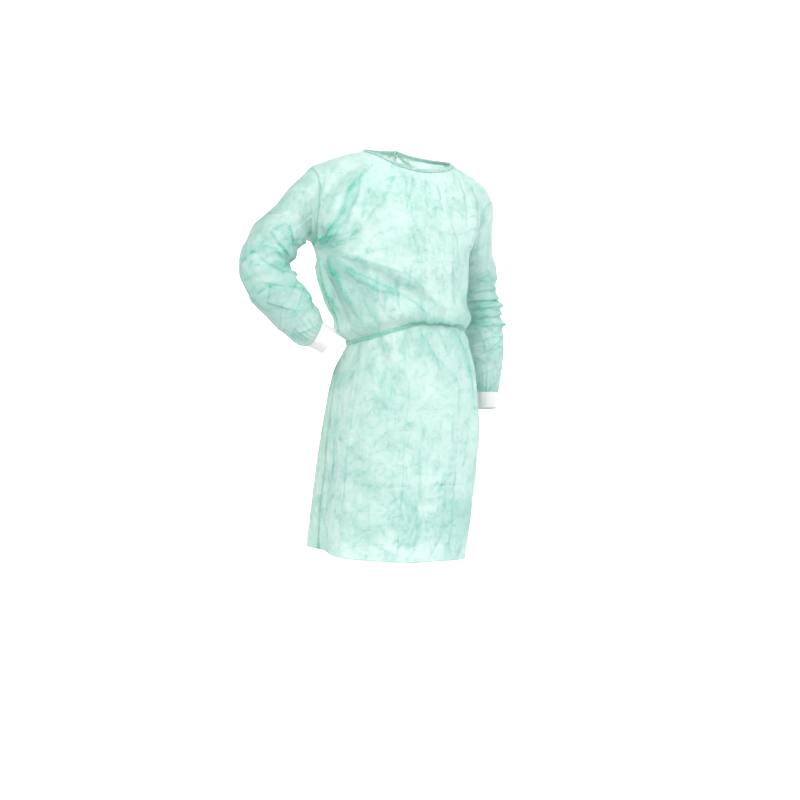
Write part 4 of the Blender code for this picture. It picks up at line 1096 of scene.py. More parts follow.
# %% Fine folds of the sleeves
SLEEVE_FINE = {
    RIGHT: [
        (0.0078, 0.0034, 0.014, 1.25, [(182, 0.490), (150, 0.474), (118, 0.452), (92, 0.430)]),
        (0.0076, 0.0034, 0.014, 1.25, [
            (186, 0.530), (152, 0.532), (112, 0.522), (70, 0.498), (30, 0.470),
        ]),
        (0.0060, 0.0038, 0.014, 0.9, [
            (176, 0.455), (140, 0.425), (105, 0.390), (70, 0.350), (40, 0.330),
        ]),
        (0.0066, 0.0036, 0.014, 1.0, [
            (182, 0.575), (145, 0.590), (105, 0.590), (65, 0.575), (30, 0.560),
        ]),
        (0.0054, 0.0038, 0.012, 0.8, [(186, 0.620), (150, 0.650), (118, 0.664), (88, 0.662)]),
        (0.0054, 0.0038, 0.014, 0.7, [(170, 0.410), (140, 0.370), (112, 0.320), (95, 0.275)]),
        (0.0056, 0.0038, 0.014, 0.8, [(24, 0.400), (50, 0.420), (80, 0.452), (104, 0.480)]),
        (0.0037, 0.0042, 0.011, 0.5, [(160, 0.27), (130, 0.30), (100, 0.36), (60, 0.44)]),
        (0.0037, 0.0042, 0.011, 0.5, [
            (20, 0.50), (50, 0.56), (85, 0.635), (120, 0.70), (150, 0.74),
        ]),
        (0.0042, 0.0042, 0.011, 0.6, [(10, 0.60), (45, 0.67), (80, 0.745), (110, 0.82)]),
        (0.0037, 0.0042, 0.011, 0.5, [(170, 0.66), (140, 0.70), (110, 0.76), (90, 0.84)]),
        (0.0032, 0.0042, 0.011, 0.4, [(350, 0.68), (20, 0.76), (50, 0.85)]),
        (0.0035, 0.0042, 0.011, 0.5, [(158, 0.08), (140, 0.16), (120, 0.26), (110, 0.34)]),
        (0.0035, 0.0042, 0.011, 0.4, [(120, 0.06), (100, 0.14), (84, 0.24), (70, 0.34)]),
        (0.0045, 0.0038, 0.009, 0.7, [(186, 0.50), (215, 0.47), (250, 0.43), (285, 0.40)]),
        (0.0045, 0.0038, 0.009, 0.7, [(186, 0.55), (220, 0.56), (260, 0.56), (300, 0.54)]),
        (0.0037, 0.0042, 0.011, 0.5, [(190, 0.62), (225, 0.67), (255, 0.74)]),
        (0.0037, 0.0042, 0.011, 0.5, [(200, 0.30), (230, 0.36), (262, 0.42)]),
        (0.0037, 0.0042, 0.011, 0.5, [(345, 0.58), (315, 0.66), (285, 0.75), (262, 0.84)]),
    ],
    LEFT: [
        (0.0042, 0.0036, 0.007, 0.6, [
            (10, 0.40), (50, 0.415), (90, 0.405), (130, 0.42), (160, 0.43),
        ]),
        (0.0050, 0.0036, 0.007, 0.7, [
            (350, 0.455), (30, 0.46), (75, 0.475), (120, 0.465), (165, 0.47),
        ]),
        (0.0052, 0.0036, 0.007, 0.8, [
            (355, 0.505), (40, 0.515), (85, 0.51), (130, 0.525), (170, 0.52),
        ]),
        (0.0050, 0.0036, 0.007, 0.8, [
            (345, 0.56), (25, 0.555), (70, 0.57), (110, 0.565), (150, 0.58),
        ]),
        (0.0045, 0.0036, 0.007, 0.7, [(350, 0.61), (30, 0.625), (80, 0.615), (125, 0.63)]),
        (0.0037, 0.0038, 0.009, 0.5, [(20, 0.66), (55, 0.70), (90, 0.755), (130, 0.79)]),
        (0.0037, 0.0038, 0.009, 0.5, [(340, 0.70), (15, 0.75), (45, 0.82), (60, 0.89)]),
        (0.0032, 0.0042, 0.011, 0.4, [(60, 0.30), (90, 0.335), (130, 0.34)]),
        (0.0032, 0.0042, 0.011, 0.4, [(30, 0.24), (50, 0.32), (58, 0.38)]),
        (0.0030, 0.0042, 0.011, 0.4, [(70, 0.08), (66, 0.18), (72, 0.28)]),
        (0.0045, 0.0036, 0.007, 0.7, [(190, 0.43), (230, 0.445), (275, 0.44), (320, 0.455)]),
        (0.0045, 0.0036, 0.007, 0.7, [(200, 0.50), (245, 0.49), (290, 0.505), (330, 0.50)]),
        (0.0045, 0.0036, 0.007, 0.7, [(195, 0.56), (240, 0.575), (285, 0.565), (325, 0.58)]),
        (0.0037, 0.0038, 0.009, 0.5, [(200, 0.64), (240, 0.70), (270, 0.77), (290, 0.85)]),
        (0.0035, 0.0038, 0.009, 0.5, [(230, 0.12), (250, 0.20), (262, 0.30)]),
    ],
}
GATHERS = 26
# Where a sleeve is crushed at its underarm, tinted deeper for the bunched cloth and as painted
# shade: place round it, width and tint
SLEEVE_CRUSHED_AND_SHADED = {RIGHT: (158.0, 40.0, 1.1), LEFT: (150.0, 30.0, 0.4)}
# A deeper tint down the sleeve, and how far down the sleeve the painted shade of the underarm
# reaches
SLEEVE_TINT, CRUSHED_SHADE_DEPTH = 0.10, 0.030
# Seed, count, where they start, usual direction and its spread, and sizes
SLEEVE_CREASES = [
    (21, 190, 0.0, (0, 50), SHORT_CREASES),
    (31, 120, 0.30, (0, 26), LONG_CREASES),
]
SLEEVE_SWELL, SLEEVE_SWELL_SIZE = 0.0052, 0.075
SLEEVE_FOLD_REACH, SLEEVE_FOLD_IN, SLEEVE_FOLD_OUT = 0.04, 0.2, 0.3
GATHER_RISE, GATHER_TINT = 0.0026, 0.35


def sleeve_fine(side, around, travel, points):
    """Relief and tint of a sleeve's fine folds and scattered creases, and its swelling. The tint
    holds painted shade beside the short creases and at the underarm, where the cloth is crushed
    too, and grows a little down the sleeve.
    """
    v = travel * SLEEVE_REACH
    relief, tint = np.zeros(v.shape), np.zeros(v.shape)
    for high, flank, band, dark, places in SLEEVE_FINE[side]:
        places = np.array(places, float)
        turned = np.degrees(np.unwrap(np.radians(places[:, 0])))
        middle = turned.mean()
        line_u = np.radians(turned - middle) * SLEEVE_RADIUS
        line = np.stack([line_u, places[:, 1] * SLEEVE_REACH], axis=1)
        u = np.radians(wrap(around - middle)) * SLEEVE_RADIUS
        aside, along = bent_line(u, v, rounded(line))
        fade = ease(along / SLEEVE_FOLD_IN) * ease((1 - along) / SLEEVE_FOLD_OUT)
        fade = fade * np.exp(-((aside / SLEEVE_FOLD_REACH) ** 4))
        lift, deeper = pleat(aside, high, flank, band, dark)
        relief, tint = relief + lift * fade, tint + deeper * fade
    turn = 2 * np.pi * SLEEVE_RADIUS
    u = np.radians(around) * SLEEVE_RADIUS
    for seed, count, low, lean, sizes in SLEEVE_CREASES:
        spans = (turn, (low * SLEEVE_REACH, 0.97 * SLEEVE_REACH))
        lift, deeper = scattered(u, v, seed + side, count, spans, lean, sizes)
        relief, tint = relief + lift, tint + deeper
    relief += SLEEVE_SWELL * billows(points, 40 + side, SLEEVE_SWELL_SIZE)
    # Painted shade at the underarm, with the crushed cloth there
    at, wide, deep = SLEEVE_CRUSHED_AND_SHADED[side]
    crushed_and_shade = np.exp(-((wrap(around - at) / wide) ** 2) - (v / CRUSHED_SHADE_DEPTH) ** 2)
    tint = tint + deep * crushed_and_shade + SLEEVE_TINT * ease(travel / 0.3)
    return relief * ease(travel / 0.05) * ease((1 - travel) / 0.06), tint


def sleeve_relief(side, around, travel):
    """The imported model's large folds of a sleeve, as bells on lines."""
    relief = np.zeros(around.shape)
    for t1, a1, t2, a2, depth, width in zip(*SLEEVE_FOLDS[side].values()):
        middle = (a1 + a2) / 2
        u = np.radians(wrap(around - middle)) * SLEEVE_RADIUS
        u1, u2 = np.radians(a1 - middle) * SLEEVE_RADIUS, np.radians(a2 - middle) * SLEEVE_RADIUS
        relief = relief + depth * crease(
            u, travel * SLEEVE_REACH, u1, t1 * SLEEVE_REACH, u2, t2 * SLEEVE_REACH, width
        )
    return relief * ease(travel / HEAD_SHARE) * ease((1 - travel) / CALM_SHARE)


def gathers(around, travel):
    """Small pleats at the cuff, uneven round the sleeve, which grow out of nothing down it. Their
    tint is deepest in the valleys: doubled cloth and painted shade.
    """
    grown = ease((travel - GATHER_START) / (1 - GATHER_START)) * (1 - GATHER_FLAT * travel)
    turn = np.radians(around)
    wave = np.cos(GATHERS * turn + 1.6 * np.sin(3 * turn) + 0.9 * np.sin(5 * turn + 1))
    return GATHER_RISE * grown * wave, GATHER_TINT * grown * (1 - wave)


# %% Sleeves
SLEEVE_AROUND, SLEEVE_ROWS = 190, 240
# Tint and width of the two seams, round the armhole and under the sleeve
HEAD_TINT, HEAD_SEAM, UNDER_TINT, UNDER_SEAM = 0.5, 0.005, 0.4, 0.003


def make_sleeve(side, name):
    """One sleeve: the plain tube, moved along its own direction by all of its folds."""
    travel = np.linspace(0, 1, SLEEVE_ROWS + 1)
    around = np.arange(SLEEVE_AROUND) * 360.0 / SLEEVE_AROUND
    around = around if side == LEFT else -around % 360.0
    travel, around = np.meshgrid(travel, around, indexing="ij")
    plain = plain_sleeve(side, around, travel)
    stretch = np.linalg.norm(np.gradient(plain, axis=0), axis=-1) * SLEEVE_ROWS / SLEEVE_REACH
    fine, tint = sleeve_fine(side, around, travel, plain)
    # The gathers' tint: doubled cloth, and painted shade in their valleys
    gathered, doubled = gathers(around, travel)
    relief = (sleeve_relief(side, around, travel) + fine) * np.minimum(stretch, 1) + gathered
    points = plain + grid_normals(plain, "round") * relief[..., None]
    edge, _, leaving = armhole_ring(side, around[0])
    points[0] = edge + leaving * SEAM_GAP
    along, middle = arm_frames(side)[1][-1], arm_line(side, 1.0)[0]
    points[-1] -= ((points[-1] - middle) @ along)[:, None] * along
    from_armhole = travel * SLEEVE_REACH
    tint = tint + doubled + HEAD_TINT * ease(1.3 - from_armhole / HEAD_SEAM)
    under = np.abs(wrap(around - 180.0)) * np.radians(1) * SLEEVE_RADIUS
    tint = tint + UNDER_TINT * ease(1.4 - under / UNDER_SEAM)
    round_it = np.arange(SLEEVE_AROUND) * 2 * np.pi * SLEEVE_RADIUS / SLEEVE_AROUND
    uv = np.stack([np.broadcast_to(round_it, travel.shape), -from_armhole], axis=-1)
    piece = cloth_piece(f"{name}_cloth", points, uv, tint, "round")
    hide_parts(name)


for side, name in ((RIGHT, "sleeve_right"), (LEFT, "sleeve_left")):
    make_sleeve(side, name)

# %% [markdown]
# ## Knit cuffs
#
# The cuffs are a doubled tube of white rib knit. Its free end is the fold of the tube, so it
# is round, and its other end is sewn to the sleeve. We carry a closed profile round the
# opening: down the outside, round the fold and up the inside. The ribs are a wave round it
# with flat crests and narrow valleys, as in a one-and-one rib.

# %% Cuffs
KNIT = 0.0020
CUFF_LENGTH, CUFF_RADIUS, CUFF_END_RADIUS = 0.042, 0.0375, 0.0350
RIBS, RIB_HEIGHT, RIB_SAMPLES = 72, 0.0005, 8
CUFF_LEG, CUFF_FOLD = 26, 7
CUFF_WAIST, RIB_SQUARE = 0.0012, 2.2


def cuff_profile():
    """Distance down the cuff and out from its inside, round the doubled wall, and how much of
    the ribs each place shows: all outside, none inside."""
    down = np.linspace(0.0004, CUFF_LENGTH - KNIT / 2, CUFF_LEG)
    turn = np.linspace(0, np.pi, CUFF_FOLD + 2)[1:-1]
    fold_down = CUFF_LENGTH - KNIT / 2 + np.sin(turn) * KNIT / 2
    fold_out = KNIT / 2 + np.cos(turn) * KNIT / 2
    along = np.concatenate([down, fold_down, down[::-1]])
    out = np.concatenate([np.full(CUFF_LEG, KNIT), fold_out, np.zeros(CUFF_LEG)])
    ribbed = np.concatenate([np.ones(CUFF_LEG), (1 + np.cos(turn)) / 2, np.zeros(CUFF_LEG)])
    return along, out, ribbed


def make_cuff(side, name):
    """One cuff: the profile carried round the opening, a little slack and uneven."""
    around = np.arange(RIBS * RIB_SAMPLES) * 2 * np.pi / (RIBS * RIB_SAMPLES)
    along, out, ribbed = (column[:, None] for column in cuff_profile())
    middle = arm_line(side, 1.0)[0]
    _, heading, outward, forward = (frames[-1] for frames in arm_frames(side))
    spoke = outward * np.cos(around)[:, None] + forward * np.sin(around)[:, None]
    share = along / CUFF_LENGTH
    rib = RIB_HEIGHT * np.tanh(RIB_SQUARE * np.sin(around * RIBS)) * ribbed
    waist = -CUFF_WAIST * np.sin(share * np.pi)
    slack = 0.0008 * np.sin(3 * around + side) * share + 0.0004 * np.sin(7 * around)
    radius = CUFF_RADIUS + (CUFF_END_RADIUS - CUFF_RADIUS) * share - KNIT
    radius = radius + out + rib + waist + slack
    points = middle + heading * (SEAM_GAP + along)[..., None] + spoke * radius[..., None]
    round_it = np.arange(len(around)) * 2 * np.pi * CUFF_RADIUS / len(around)
    down = -np.arange(len(along))[:, None] * CUFF_LENGTH / CUFF_LEG
    uv = np.stack(np.broadcast_arrays(round_it, down), axis=-1)
    if side == RIGHT:
        points = points[:, ::-1]
    piece = cloth_piece(f"{name}_knit", points, uv, 0.0, "both", shell=0)
    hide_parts(name)


for side, name in ((RIGHT, "cuff_right"), (LEFT, "cuff_left")):
    make_cuff(side, name)

# %% [markdown]
# ## The binding of the neck
#
# A strip of the same cloth is folded over the neck edge and stitched through. Its outer leg,
# fold and inner leg are one profile, carried along the neck edge from one side of the back
# opening to the other. The stitching draws it in a little at each stitch.

# %% Neck binding
BINDING_WIDTH, BINDING_GAP, BINDING_ROLL = 0.009, 0.0008, 0.0011
STITCH_LENGTH, STITCH_DRAW = 0.0045, 0.00035
STITCH_AT, STITCH_BAND = 0.22, 0.12
BINDING_COLUMNS, BINDING_LEG = 520, 8
BINDING_TINT, STITCH_TINT = 0.38, 0.30


def neck_line(count):
    """Angles in even steps along the neck edge, from one side of the back opening to the other."""
    last = 180.0 + OVERLAP["degrees"][-1]
    angles = np.linspace(-last, last, 721)
    walked = walked_along(ring_point(angles, round_height(angles, "neck")))
    return np.interp(np.linspace(0, walked[-1], count), walked, angles), walked[-1]


def binding_drop(angles):
    """How far below the neck edge the strip's lower edge is, down the slope of the cloth."""
    neck = round_height(angles, "neck")
    step = ring_point(angles, neck) - ring_point(angles, neck - SMALL_HEIGHT)
    return BINDING_WIDTH * SMALL_HEIGHT / np.linalg.norm(step, axis=-1)


def make_binding():
    """The folded strip: out and up its outer leg, round the fold, and down inside."""
    angles, length = neck_line(BINDING_COLUMNS)
    neck = round_height(angles, "neck")
    low = neck - binding_drop(angles)
    top_point, low_point = body_point(angles, neck), body_point(angles, low)
    normal = unit(body_normal(angles, neck) + body_normal(angles, low))
    rise = unit(top_point - low_point)
    stitch = np.cos(np.linspace(0, length, len(angles)) * 2 * np.pi / STITCH_LENGTH)
    uneven = 0.0003 * np.sin(np.radians(angles) * 23) + 0.0002 * np.sin(np.radians(angles) * 61)
    leg = np.linspace(0, 1, BINDING_LEG)
    turn = np.linspace(0, np.pi, 9)[1:-1]
    inside = -CLOTH_SHELL - BINDING_GAP
    half = (BINDING_GAP + BINDING_ROLL - inside + BINDING_ROLL) / 2
    centre = BINDING_GAP + BINDING_ROLL - half
    up = np.concatenate([leg, np.ones(len(turn)), leg[::-1]])
    outer, inner = (np.full(BINDING_LEG, centre + side * half) for side in (1, -1))
    out = np.concatenate([outer, centre + half * np.cos(turn), inner])
    flat = np.zeros(BINDING_LEG)
    over = np.concatenate([flat, half * np.sin(turn), flat])
    sewn = np.exp(-(((up - STITCH_AT) / STITCH_BAND) ** 2))[:, None]
    out = out[:, None]
    out = out + np.sign(out) * (uneven - STITCH_DRAW * sewn * (1 + stitch))
    over = over[:, None] + 0.4 * uneven
    points = low_point + (top_point - low_point) * up[:, None, None]
    points = points + normal * out[..., None] + rise * over[..., None]
    along = np.linspace(0, length, len(angles))
    uv = np.stack(np.broadcast_arrays(along, up[:, None] * BINDING_WIDTH), axis=-1)
    tint = BINDING_TINT + STITCH_TINT * sewn
    piece = cloth_piece("neck_binding_cloth", points, uv, tint, "")
    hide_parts("neck_binding")
    return length


neck_length = make_binding()
print("the neck edge is", round(float(neck_length), 3), "m round")

# %% [markdown]
# ## The belt
#
# The belt is a strip folded into a narrow strap and crushed by the tying: it twists a little,
# and lengthwise wrinkles run in and out of it. A flattened ring is carried round the waist,
# with its own width, thickness and lean at each place. It lies on the panels' own surface,
# so it dips where they are drawn in.

# %% Belt
BELT_WIDTH, BELT_THICK, LAY_GAP, BELT_LIP = 0.011, 0.0024, 0.0004, 0.0005
BELT_COLUMNS, BELT_SECTION = 620, 22
WRINKLE, BELT_TINT, BELT_WRINKLE_TINT = 0.00028, 0.3, 0.2


def make_belt():
    """An oval section, |x|^(2/3) style flat, carried round the belt's line, with wrinkles as
    waves of the place along it and round its section."""
    angles = np.linspace(-180, 180, BELT_COLUMNS + 1)[:-1]
    height = round_height(angles, "belt")
    base, normal = body_point(angles, height), body_normal(angles, height)
    ahead = unit(np.roll(base, -1, 0) - np.roll(base, 1, 0))
    upward = unit(np.cross(normal, ahead))
    walked = np.radians(angles)[None, :]
    turn = np.linspace(0, 2 * np.pi, BELT_SECTION + 1)[:-1, None]
    lean = 0.16 * np.sin(5 * walked + 1) + 0.10 * np.sin(13 * walked)
    width = BELT_WIDTH / 2 * (0.90 + 0.10 * np.sin(9 * walked) * np.sin(4 * walked + 2))
    thick = BELT_THICK / 2 * (0.86 + 0.14 * np.sin(17 * walked + 1))
    across_it = np.sign(np.cos(turn)) * np.abs(np.cos(turn)) ** 0.8 * width
    out = np.sign(np.sin(turn)) * np.abs(np.sin(turn)) ** 0.7 * thick
    wrinkle = np.sin(3 * turn + 9 * np.sin(3 * walked) + 31 * walked)
    wrinkle = wrinkle + np.sin(5 * turn - 23 * walked)
    out = out + WRINKLE * wrinkle * (np.sin(turn) > -0.3)
    tilted = across_it * np.sin(lean) * 0.5 + out * np.cos(lean)
    raised = LAY_GAP + BELT_THICK / 2 + np.maximum(tilted, -BELT_THICK / 2)
    points = base + upward * (across_it * np.cos(lean))[..., None] + normal * raised[..., None]
    uv = np.stack(np.broadcast_arrays(walked * ROUND_RADIUS, turn * BELT_WIDTH / 3), axis=-1)
    tint = BELT_TINT + BELT_WRINKLE_TINT * wrinkle
    piece = cloth_piece("belt_strap", points[::-1], uv[::-1], tint, "both", shell=0)
    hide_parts("belt")
    return float(np.linalg.norm(np.roll(base, -1, 0) - base, axis=1).sum())


belt_length = make_belt()
print("the belt is", round(belt_length, 3), "m round the waist")

# %% [markdown]
# ## The bows at the back
#
# Both the neck and the belt are tied behind, where nobody looks, but the gown is seen from
# all sides. A bow of limp cloth is a knot with two drooping loops and two tails. Each ribbon
# is a flat strip carried along a path on the back, with its width square to the way it
# heads. It is squeezed where it enters the knot, and crushed lengthwise by handling.

# %% Ribbons of the bows
TIES = [
    {
        "name": "neck_tie",
        "height": 0.0015,
        "seat": 0.0010,
        "knot": (0.015, 0.014, 0.010),
        "loop": 0.055,
        "open": 0.007,
        "slant": np.radians(38.0),
        "tail": 0.120,
        "width": 0.009,
    },
    {
        "name": "belt_tie",
        "height": -0.482,
        "seat": LAY_GAP + BELT_THICK + BELT_LIP,
        "knot": (0.020, 0.018, 0.013),
        "loop": 0.085,
        "open": 0.009,
        "slant": np.radians(40.0),
        "tail": 0.210,
        "width": 0.012,
    },
]
TIE_CLOTH = 0.0012
PINCH, PINCH_REACH = 0.45, 0.030
LOOP_POINTS, LOOP_ROUND = 90, 0.7
TAIL_POINTS, TAIL_SWAY, TAIL_WAVE, TAIL_TURNS = 110, 0.10, 0.002, 2.0
TAIL_UNEVEN, TAIL_REST, TAIL_EASE = 0.08, 0.004, 0.5
RIBBON_ACROSS = 14
RIBBON_WAVE, RIBBON_ARCH, RIBBON_TINT, RIBBON_WAVE_TINT = 0.0011, 0.0006, 0.35, 0.3


def squeezed(width, away):
    """The width of a tie that far from its knot: an ease from the squeezed width to the full."""
    return width * (PINCH + (1 - PINCH) * ease(away / PINCH_REACH))


def lay_ribbon(name, angles, heights, outs, heading, width, closed):
    """A flat tie along a path off the body. Its section is a thin closed oval whose face waves
    lengthwise: an arch, plus two wrinkles that drift across it."""
    path = body_point(angles, heights, outs)
    normal = across(ring_point, angles, heights, SMALL_ANGLE, SMALL_HEIGHT)
    ahead = body_point(angles + heading[0] * SMALL_ANGLE, heights + heading[1] * SMALL_HEIGHT, outs)
    aside = unit(np.cross(normal, unit(ahead - path)))
    step = np.roll(path, -1, 0) - np.roll(path, 1, 0) if closed else np.gradient(path, axis=0)
    face = unit(np.cross(unit(step), aside))
    walked = walked_along(path)[:, None]
    turn = np.linspace(0, 2 * np.pi, 2 * RIBBON_ACROSS + 1)[:-1]
    over = np.sign(np.cos(turn)) * np.abs(np.cos(turn)) ** 0.8
    thick = np.sign(np.sin(turn)) * np.abs(np.sin(turn)) ** 0.5 * TIE_CLOTH / 2 * 0.7
    wave = np.sin(over * 3.2 + walked * 60) * 0.5 + np.sin(over * 7 - walked * 95 + 2) * 0.35
    lift = RIBBON_WAVE * wave * (width[:, None] / width.max()) + RIBBON_ARCH * (1 - over**2)
    points = path[:, None] + aside[:, None] * (over * width[:, None] / 2)[..., None]
    points = points + face[:, None] * (thick + lift)[..., None]
    uv = np.stack(np.broadcast_arrays(turn * width.max() / 3, walked), axis=-1)
    tint = RIBBON_TINT + RIBBON_WAVE_TINT * wave
    joined = "both" if closed else "round"
    piece = cloth_piece(f"{name}_strip", points, uv, tint, joined, shell=0)
    if not closed:
        close_ends(piece.data, 2 * RIBBON_ACROSS)
    turn_outward(piece.data)
    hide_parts(name)
    return float(walked[-1, 0])


def close_ends(mesh, around):
    """Adds a fan of faces over both ends of a tube whose rows have that many points."""
    build = bmesh.new()
    build.from_mesh(mesh)
    build.verts.ensure_lookup_table()
    count = len(build.verts)
    for ring in (range(around), range(count - around, count)):
        build.faces.new([build.verts[i] for i in ring])
    build.to_mesh(mesh)
    build.free()


def turn_outward(mesh):
    """Turns the faces of a closed mesh to look out."""
    build = bmesh.new()
    build.from_mesh(mesh)
    bmesh.ops.recalc_face_normals(build, faces=build.faces)
    build.to_mesh(mesh)
    build.free()


# %% Knots
KNOT_WAIST, KNOT_ROWS, KNOT_AROUND = 0.15, 40, 72
KNOT_END, KNOT_SHARE, KNOT_TINT = 0.02, 0.97, 0.5


def make_knot(name, centre, axes, sizes):
    """A pebble, a sphere with flattened shoulders, with the turns of the strip as grooves: a
    wave of the place along it that leans with the turn round it."""
    down = np.linspace(KNOT_END, np.pi - KNOT_END, KNOT_ROWS)[:, None]
    turn = np.arange(KNOT_AROUND) * 2 * np.pi / KNOT_AROUND
    waist = 1 - KNOT_WAIST * np.cos(down) ** 2
    turns = 0.06 * np.sin(7 * np.cos(down) + 1.2 * np.sin(turn))
    groove = 1 + (turns + 0.03 * np.sin(9 * turn + 8 * down)) * np.sin(down)
    reach = np.sin(down) * waist
    local = np.broadcast_arrays(np.cos(down), reach * np.cos(turn), reach * np.sin(turn))
    half = np.array(sizes) / 2
    points = (np.stack(local, axis=-1) * groove[..., None] * KNOT_SHARE * half) @ axes + centre
    uv = np.stack(np.broadcast_arrays(turn * half[1], down * half[0]), axis=-1)
    piece = cloth_piece(f"{name}_wrap", points, uv, KNOT_TINT, "round", shell=0)
    close_ends(piece.data, KNOT_AROUND)
    turn_outward(piece.data)
    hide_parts(name)


def make_bow(tie):
    """A bow: its knot, then a loop and a tail on each side of it."""
    name, width, height = tie["name"], tie["width"], tie["height"]
    half = np.array(tie["knot"]) / 2
    out = tie["seat"] + LAY_GAP + half[2]
    centre = body_point(180.0, height, out)
    normal = across(ring_point, np.float64(180.0), np.float64(height), SMALL_ANGLE, SMALL_HEIGHT)
    aside = unit(np.cross(normal, [0.0, 0.0, 1.0]))
    axes = np.array([aside, np.cross(aside, normal), normal])
    make_knot(f"{name}_knot", centre, axes, tie["knot"])
    degrees = 1 / np.linalg.norm(body_point(181.0, height, out) - centre)
    lengths = {}
    for side, word in ((RIGHT, "right"), (LEFT, "left")):
        spread, drop = np.cos(tie["slant"]), np.sin(tie["slant"])
        start = 1 / np.hypot(spread / half[0], drop / half[1]) + TIE_CLOTH / 2 + SEAM_GAP
        turn = np.arange(LOOP_POINTS) * 2 * np.pi / LOOP_POINTS
        reach = start + tie["loop"] * (1 - np.cos(turn)) / 2
        lift = np.sign(np.sin(turn)) * np.abs(np.sin(turn)) ** LOOP_ROUND * tie["open"] / 2
        angles, heights = 180.0 - side * spread * reach * degrees, height - drop * reach
        heading = (-side * spread * degrees * SMALL_HEIGHT / SMALL_ANGLE, -drop)
        widths = squeezed(width, reach - start)
        loop, tail = f"{name}_loop_{word}", f"{name}_tail_{word}"
        lengths[loop] = lay_ribbon(loop, angles, heights, out + lift, heading, widths, True)
        fall = np.linspace(0, 1, TAIL_POINTS)
        widths = squeezed(width, tie["tail"] * fall)
        wave = side * TAIL_WAVE * np.sin(TAIL_TURNS * np.pi * fall)
        sway = widths / 2 + SEAM_GAP + TAIL_SWAY * tie["tail"] * ease(fall) + wave
        angles = 180.0 - side * sway * degrees
        top = height - half[1] - 2 * SEAM_GAP
        heights = top - tie["tail"] * (1 - side * TAIL_UNEVEN) * fall
        outs = TAIL_REST + (out - TAIL_REST) * (1 - ease(fall / TAIL_EASE))
        lengths[tail] = lay_ribbon(tail, angles, heights, outs, (0.0, -1.0), widths, False)
    return lengths


tie_lengths = {}
for tie in TIES:
    tie_lengths.update(make_bow(tie))
print({name: round(length, 3) for name, length in tie_lengths.items()})

# %% [markdown]
# ## Shader maths as Python
#
# A material is a graph of nodes. Written node by node it is long and hard to read, so one
# small class wraps a socket, and Python's operators on it add the Math nodes. Colours are
# mixed by a Mix node, and every other node comes from the one method `node`.

# %% A socket with operators
class Socket:
    """An output in a material's node tree. Adding, subtracting or multiplying makes nodes."""

    def __init__(self, tree, output=None):
        self.tree, self.output = tree, output

    def node(self, kind, settings, values, out=0):
        """Adds a node of that type: its settings first, then the values or links of its sockets."""
        made_node = self.tree.nodes.new(kind)
        for name, value in settings.items():
            setattr(made_node, name, value)
        for name, value in values.items():
            if isinstance(value, Socket):
                self.tree.links.new(value.output, made_node.inputs[name])
            else:
                made_node.inputs[name].default_value = value
        return Socket(self.tree, made_node.outputs[out])

    def math(self, operation, first, second=0.0):
        return self.node("ShaderNodeMath", {"operation": operation}, {0: first, 1: second})

    def __add__(self, other):
        return self.math("ADD", self, other)

    def __sub__(self, other):
        return self.math("SUBTRACT", self, other)

    def __rsub__(self, other):
        return self.math("SUBTRACT", other, self)

    def __mul__(self, other):
        return self.math("MULTIPLY", self, other)

    def __pow__(self, other):
        return self.math("POWER", self, other)

    __radd__, __rmul__ = __add__, __mul__

    def held(self, low, high):
        """This value stretched so that low becomes 0 and high becomes 1, and held there."""
        ends = {"From Min": low, "From Max": high}
        return self.node("ShaderNodeMapRange", {"clamp": True}, {"Value": self, **ends})

    def mix(self, first, second):
        """The first colour where this is 0, and the second where it is 1."""
        values = {"Factor": self, 6: first, 7: second}
        settings = {"data_type": "RGBA", "clamp_factor": True}
        return self.node("ShaderNodeMix", settings, values, out=2)


def new_material(name):
    """A material, a socket to start expressions from, and its shader."""
    material = bpy.data.materials.new(name)
    material.use_nodes = True
    tree = material.node_tree
    return material, Socket(tree), tree.nodes["Principled BSDF"]


def feed(shader, name, value):
    """Links a worked-out value to a socket of the shader, or sets it where it is a constant."""
    if isinstance(value, Socket):
        value.tree.links.new(value.output, shader.inputs[name])
    else:
        shader.inputs[name].default_value = value


# %% [markdown]
# ## Spun-bonded cloth
#
# The cloth is a web of fibres laid at random and pressed together at tiny points. Held to
# the light it is cloudy: thick and thin places a few millimetres across, with pale fibres
# that wander through it. So the colour wavers between a lighter and a deeper mint, the cloth
# is least see-through where it is thick, and the folds, where it is doubled, are deeper
# green. The pressed points are a fine regular bump. Points, fibres and creases read the UV
# map, which is in metres, so they lie in the cloth and turn with it. The clouds read the
# place in space, so they run on across a seam.

# %% The cloth's material
def cells(base, place, scale, loose, feature="F1"):
    """Flat cells round scattered points: the distance to the nearest point, or to the edge."""
    settings = {"voronoi_dimensions": "2D", "feature": feature}
    values = {"Vector": place, "Scale": scale, "Randomness": loose}
    return base.node("ShaderNodeTexVoronoi", settings, values)


def sharp_creases(base, place, scale, where):
    """Thin straight lines, the edges between scattered cells, that come and go with a noise."""
    edge = cells(base, place, scale, 1.0, "DISTANCE_TO_EDGE")
    return (1 - edge.held(0.0, 0.055)) * where


